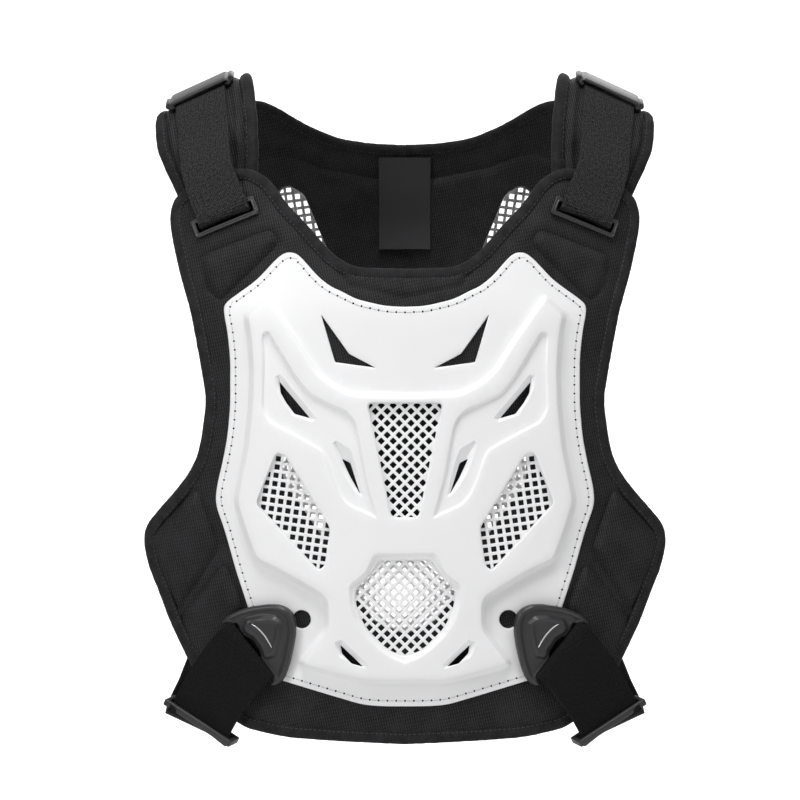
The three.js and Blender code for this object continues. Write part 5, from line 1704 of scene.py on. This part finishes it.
def build_side_sliders(settings):
    """The sliders at the folds: a flat ring whose edges are rounded all over."""
    rows, slider_row = side_rows()
    section = lifted(sections_along(rows, len(rows) - 1)[slider_row], LAYER_STEP / 2, 0)
    u, v = SIDE_HALF + 4 * GAP, LAYER_STEP / 2 + SIDE_WALL / 2 + 4 * GAP
    bar, depth = 4.0, 5.0
    clear_selection()
    bpy.ops.mesh.primitive_plane_add(size=2)
    ring = bpy.context.object
    ring.name = ring.data.name = "left_slider_ring"
    ring.data.transform(Matrix.Diagonal(((u + bar) * MM, (v + 0.75 * bar) * MM, 1, 1)))
    bpy.ops.object.mode_set(mode="EDIT")
    bpy.ops.mesh.select_mode(type="FACE")
    bpy.ops.mesh.select_all(action="SELECT")
    bpy.ops.mesh.inset(thickness=0.75 * bar * MM)
    bpy.ops.mesh.delete(type="FACE")
    bpy.ops.mesh.select_all(action="SELECT")
    bpy.ops.mesh.extrude_region_move(TRANSFORM_OT_translate={"value": (0, 0, depth * MM)})
    bpy.ops.mesh.select_all(action="SELECT")
    bpy.ops.mesh.normals_make_consistent(inside=False)
    bpy.ops.transform.translate(value=(0, 0, -depth / 2 * MM))
    bpy.ops.object.mode_set(mode="OBJECT")
    bevel(ring, 0.8, 3, 40)
    turn = Matrix(((1, 0, 0, 0), (0, 0, 1, 0), (0, -1, 0, 0), (0, 0, 0, 1)))
    ring.data.transform(section_matrix(section) @ turn)
    smooth(ring, 40)
    material = finish_of("grained_acetal", grained_acetal, settings)
    dress(ring, material, "black_moulding", "left_side_slider")
    add_right_twin(ring, "black_moulding", "right_side_slider")


# Neck tag

TAG_WIDTH, TAG_HEIGHT, TAG_TOP = 40.0, 70.0, -26.0
TAG_ROWS, TAG_COLUMNS = 24, 13


def build_neck_tag(settings):
    """The bare satin tag, sewn in at its top and curling a little at its foot."""
    lay = on_panel("rear")
    x = np.linspace(-TAG_WIDTH / 2, TAG_WIDTH / 2, TAG_COLUMNS)
    rows = []
    for down in np.linspace(0, 1, TAG_ROWS):
        flat = np.stack([x, np.full(TAG_COLUMNS, TAG_TOP - down * TAG_HEIGHT)], axis=1)
        stand = FOAM / 2 + GAP + 0.5 + 1.2 + 2.2 * down ** 2 + 0.5 * math.sin(7 * down)
        rows.append(lay(flat, -(stand + 0.5 * down * np.cos(x / 9))))
    tag = laid_grid("satin_tag", np.array(rows), (TAG_WIDTH, np.linspace(0, TAG_HEIGHT, TAG_ROWS)))
    apply_modifier(tag, "SOLIDIFY", thickness=0.35 * MM, offset=0.0)
    smooth(tag, 50)
    dress(tag, finish_of("satin_ribbon", satin_ribbon, settings), "tag", "neck_tag")


# Stage

# Places and sizes in metres, powers in watts
CAMERA_PLACE = (-0.0036, -2.2, -0.214)
CAMERA_ANGLE = 15.56
ROOM_LIGHT = 0.17
LIGHTS = [
    {"name": "overhead", "place": (0.0, -0.9, 1.7), "aim": (0, 0, -0.15), "size": 1.0, "power": 32},
    {"name": "key", "place": (-1.5, -1.6, 0.7), "aim": (0, 0, -0.2), "size": 0.7, "power": 18},
    {"name": "fill", "place": (1.6, -1.5, 0.1), "aim": (0, 0, -0.25), "size": 1.0, "power": 6},
    {"name": "back", "place": (0.3, 1.8, 1.3), "aim": (0, 0, -0.1), "size": 1.5, "power": 9},
]


def build_stage():
    """A white sweep of paper, soft lights and the camera."""
    clear_selection()
    bpy.ops.mesh.primitive_plane_add(size=6, location=(0, 0.4, -0.95))
    paper = bpy.context.object
    paper.name = "background_paper"
    bpy.ops.object.mode_set(mode="EDIT")
    bpy.ops.mesh.select_mode(type="EDGE")
    bpy.ops.mesh.select_all(action="DESELECT")
    bpy.ops.object.mode_set(mode="OBJECT")
    for edge in paper.data.edges:
        edge.select = all(paper.data.vertices[k].co.y > 2 for k in edge.vertices)
    bpy.ops.object.mode_set(mode="EDIT")
    bpy.ops.mesh.extrude_region_move(TRANSFORM_OT_translate={"value": (0, 0, 4.5)})
    bpy.ops.object.mode_set(mode="OBJECT")
    bpy.ops.object.transform_apply(location=True, rotation=True, scale=True)
    apply_modifier(paper, "BEVEL", width=0.9, segments=16, limit_method="ANGLE")
    smooth(paper, 60)
    paper.data.materials.append(matt_background_paper())

    for row in LIGHTS:
        light = bpy.data.lights.new(row["name"], "AREA")
        light.shape = "DISK"
        light.size = row["size"]
        light.energy = row["power"]
        lamp = bpy.data.objects.new(row["name"], light)
        bpy.context.scene.collection.objects.link(lamp)
        aim = Vector(row["aim"]) - Vector(row["place"])
        turn = aim.to_track_quat("-Z", "Y").to_matrix().to_4x4()
        lamp.matrix_world = Matrix.Translation(row["place"]) @ turn
    world = bpy.data.worlds.new("soft_white_room")
    world.use_nodes = True
    background = world.node_tree.nodes["Background"]
    background.inputs["Color"].default_value = (1, 1, 1, 1)
    background.inputs["Strength"].default_value = ROOM_LIGHT
    bpy.context.scene.world = world
    bpy.context.scene.view_settings.view_transform = "Standard"

    camera = bpy.data.cameras.new("camera")
    camera.angle = math.radians(CAMERA_ANGLE)
    holder = bpy.data.objects.new("camera", camera)
    holder.location = CAMERA_PLACE
    holder.rotation_euler = (math.radians(90), 0, 0)
    bpy.context.scene.collection.objects.link(holder)
    bpy.context.scene.camera = holder


# Operators

class VEST_OT_stage(bpy.types.Operator):
    """Set up the white floor, the soft lights and the camera"""
    bl_idname = "vest.stage"
    bl_label = "Stage"

    def execute(self, context):
        build_stage()
        return {"FINISHED"}


class VEST_OT_front_plate(bpy.types.Operator):
    """Build the moulded chest plate with its nets and sewing"""
    bl_idname = "vest.front_plate"
    bl_label = "Chest plate"

    def execute(self, context):
        build_plate("chest_plate", "front_plate", on_panel("front"), FRONT_DRAWING, context.scene.vest_plate)
        return {"FINISHED"}


class VEST_OT_back_plate(bpy.types.Operator):
    """Build the moulded back plate with its nets and sewing"""
    bl_idname = "vest.back_plate"
    bl_label = "Back plate"

    def execute(self, context):
        build_plate("spine_plate", "back_plate", on_panel("rear"), BACK_DRAWING, context.scene.vest_plate)
        return {"FINISHED"}


class VEST_OT_padding(bpy.types.Operator):
    """Build the padded front and back panels"""
    bl_idname = "vest.padding"
    bl_label = "Padded panels"

    def execute(self, context):
        build_front_panel(context.scene.vest_padding)
        build_back_panel(context.scene.vest_padding)
        return {"FINISHED"}


class VEST_OT_bindings(bpy.types.Operator):
    """Build the knitted bindings round both panels"""
    bl_idname = "vest.bindings"
    bl_label = "Bindings"

    def execute(self, context):
        for side, panel, outline, seed in (
            ("front", "front", FRONT_OUTLINE_WHOLE, 3.0), ("back", "rear", BACK_OUTLINE_WHOLE, 13.0),
        ):
            build_binding(
                f"{side}_binding", f"{side}_edge_tape", on_panel(panel), outline,
                context.scene.vest_padding, seed,
            )
        return {"FINISHED"}


class VEST_OT_shoulder_pads(bpy.types.Operator):
    """Build the padded arches over the shoulders with their bindings"""
    bl_idname = "vest.shoulder_pads"
    bl_label = "Shoulder pads"

    def execute(self, context):
        build_shoulder_pads(context.scene.vest_padding)
        return {"FINISHED"}


class VEST_OT_shoulder_straps(bpy.types.Operator):
    """Build the elastic shoulder straps"""
    bl_idname = "vest.shoulder_straps"
    bl_label = "Shoulder straps"

    def execute(self, context):
        build_shoulder_straps(context.scene.vest_webbing)
        return {"FINISHED"}


class VEST_OT_slot_frames(bpy.types.Operator):
    """Build the moulded frames that the shoulder straps pass through"""
    bl_idname = "vest.slot_frames"
    bl_label = "Slot frames"

    def execute(self, context):
        build_slot_frames(context.scene.vest_fittings)
        return {"FINISHED"}


class VEST_OT_shoulder_clips(bpy.types.Operator):
    """Build the moulded clips on top of the shoulders"""
    bl_idname = "vest.shoulder_clips"
    bl_label = "Shoulder clips"

    def execute(self, context):
        build_shoulder_clips(context.scene.vest_fittings)
        return {"FINISHED"}


class VEST_OT_side_buckles(bpy.types.Operator):
    """Build the hook buckles with their painted highlights"""
    bl_idname = "vest.side_buckles"
    bl_label = "Side buckles"

    def execute(self, context):
        build_side_buckles(context.scene.vest_fittings)
        return {"FINISHED"}


class VEST_OT_side_straps(bpy.types.Operator):
    """Build the elastic side straps"""
    bl_idname = "vest.side_straps"
    bl_label = "Side straps"

    def execute(self, context):
        build_side_straps(context.scene.vest_webbing)
        return {"FINISHED"}


class VEST_OT_side_sliders(bpy.types.Operator):
    """Build the sliders where the side straps fold back"""
    bl_idname = "vest.side_sliders"
    bl_label = "Side sliders"

    def execute(self, context):
        build_side_sliders(context.scene.vest_fittings)
        return {"FINISHED"}


class VEST_OT_neck_tag(bpy.types.Operator):
    """Build the bare satin tag inside the neck"""
    bl_idname = "vest.neck_tag"
    bl_label = "Neck tag"

    def execute(self, context):
        build_neck_tag(context.scene.vest_fittings)
        return {"FINISHED"}


OPERATORS = [
    VEST_OT_stage, VEST_OT_front_plate, VEST_OT_back_plate, VEST_OT_padding, VEST_OT_bindings,
    VEST_OT_shoulder_pads, VEST_OT_shoulder_straps, VEST_OT_slot_frames, VEST_OT_shoulder_clips,
    VEST_OT_side_buckles, VEST_OT_side_straps, VEST_OT_side_sliders, VEST_OT_neck_tag,
]
SETTINGS = {
    "vest_plate": PlateSettings, "vest_padding": PaddingSettings, "vest_webbing": WebbingSettings,
    "vest_fittings": FittingSettings,
}


class VEST_PT_panel(bpy.types.Panel):
    """Sizes, colours and builders of the vest"""
    bl_label = "Armour vest"
    bl_idname = "VEST_PT_panel"
    bl_space_type = "VIEW_3D"
    bl_region_type = "UI"
    bl_category = "Armour vest"

    def draw(self, context):
        for name, kind in SETTINGS.items():
            box = self.layout.box()
            for key in kind.__annotations__:
                box.prop(getattr(context.scene, name), key)
        for operator in OPERATORS:
            self.layout.operator(operator.bl_idname)


def register():
    for kind in (*SETTINGS.values(), *OPERATORS, VEST_PT_panel):
        bpy.utils.register_class(kind)
    for name, kind in SETTINGS.items():
        setattr(bpy.types.Scene, name, PointerProperty(type=kind))


def unregister():
    for name in SETTINGS:
        delattr(bpy.types.Scene, name)
    for kind in reversed((*SETTINGS.values(), *OPERATORS, VEST_PT_panel)):
        bpy.utils.unregister_class(kind)


def main():
    register()
    for operator in OPERATORS:
        group, name = operator.bl_idname.split(".")
        getattr(getattr(bpy.ops, group), name)()
    clear_selection()


if __name__ == "__main__":
    main()
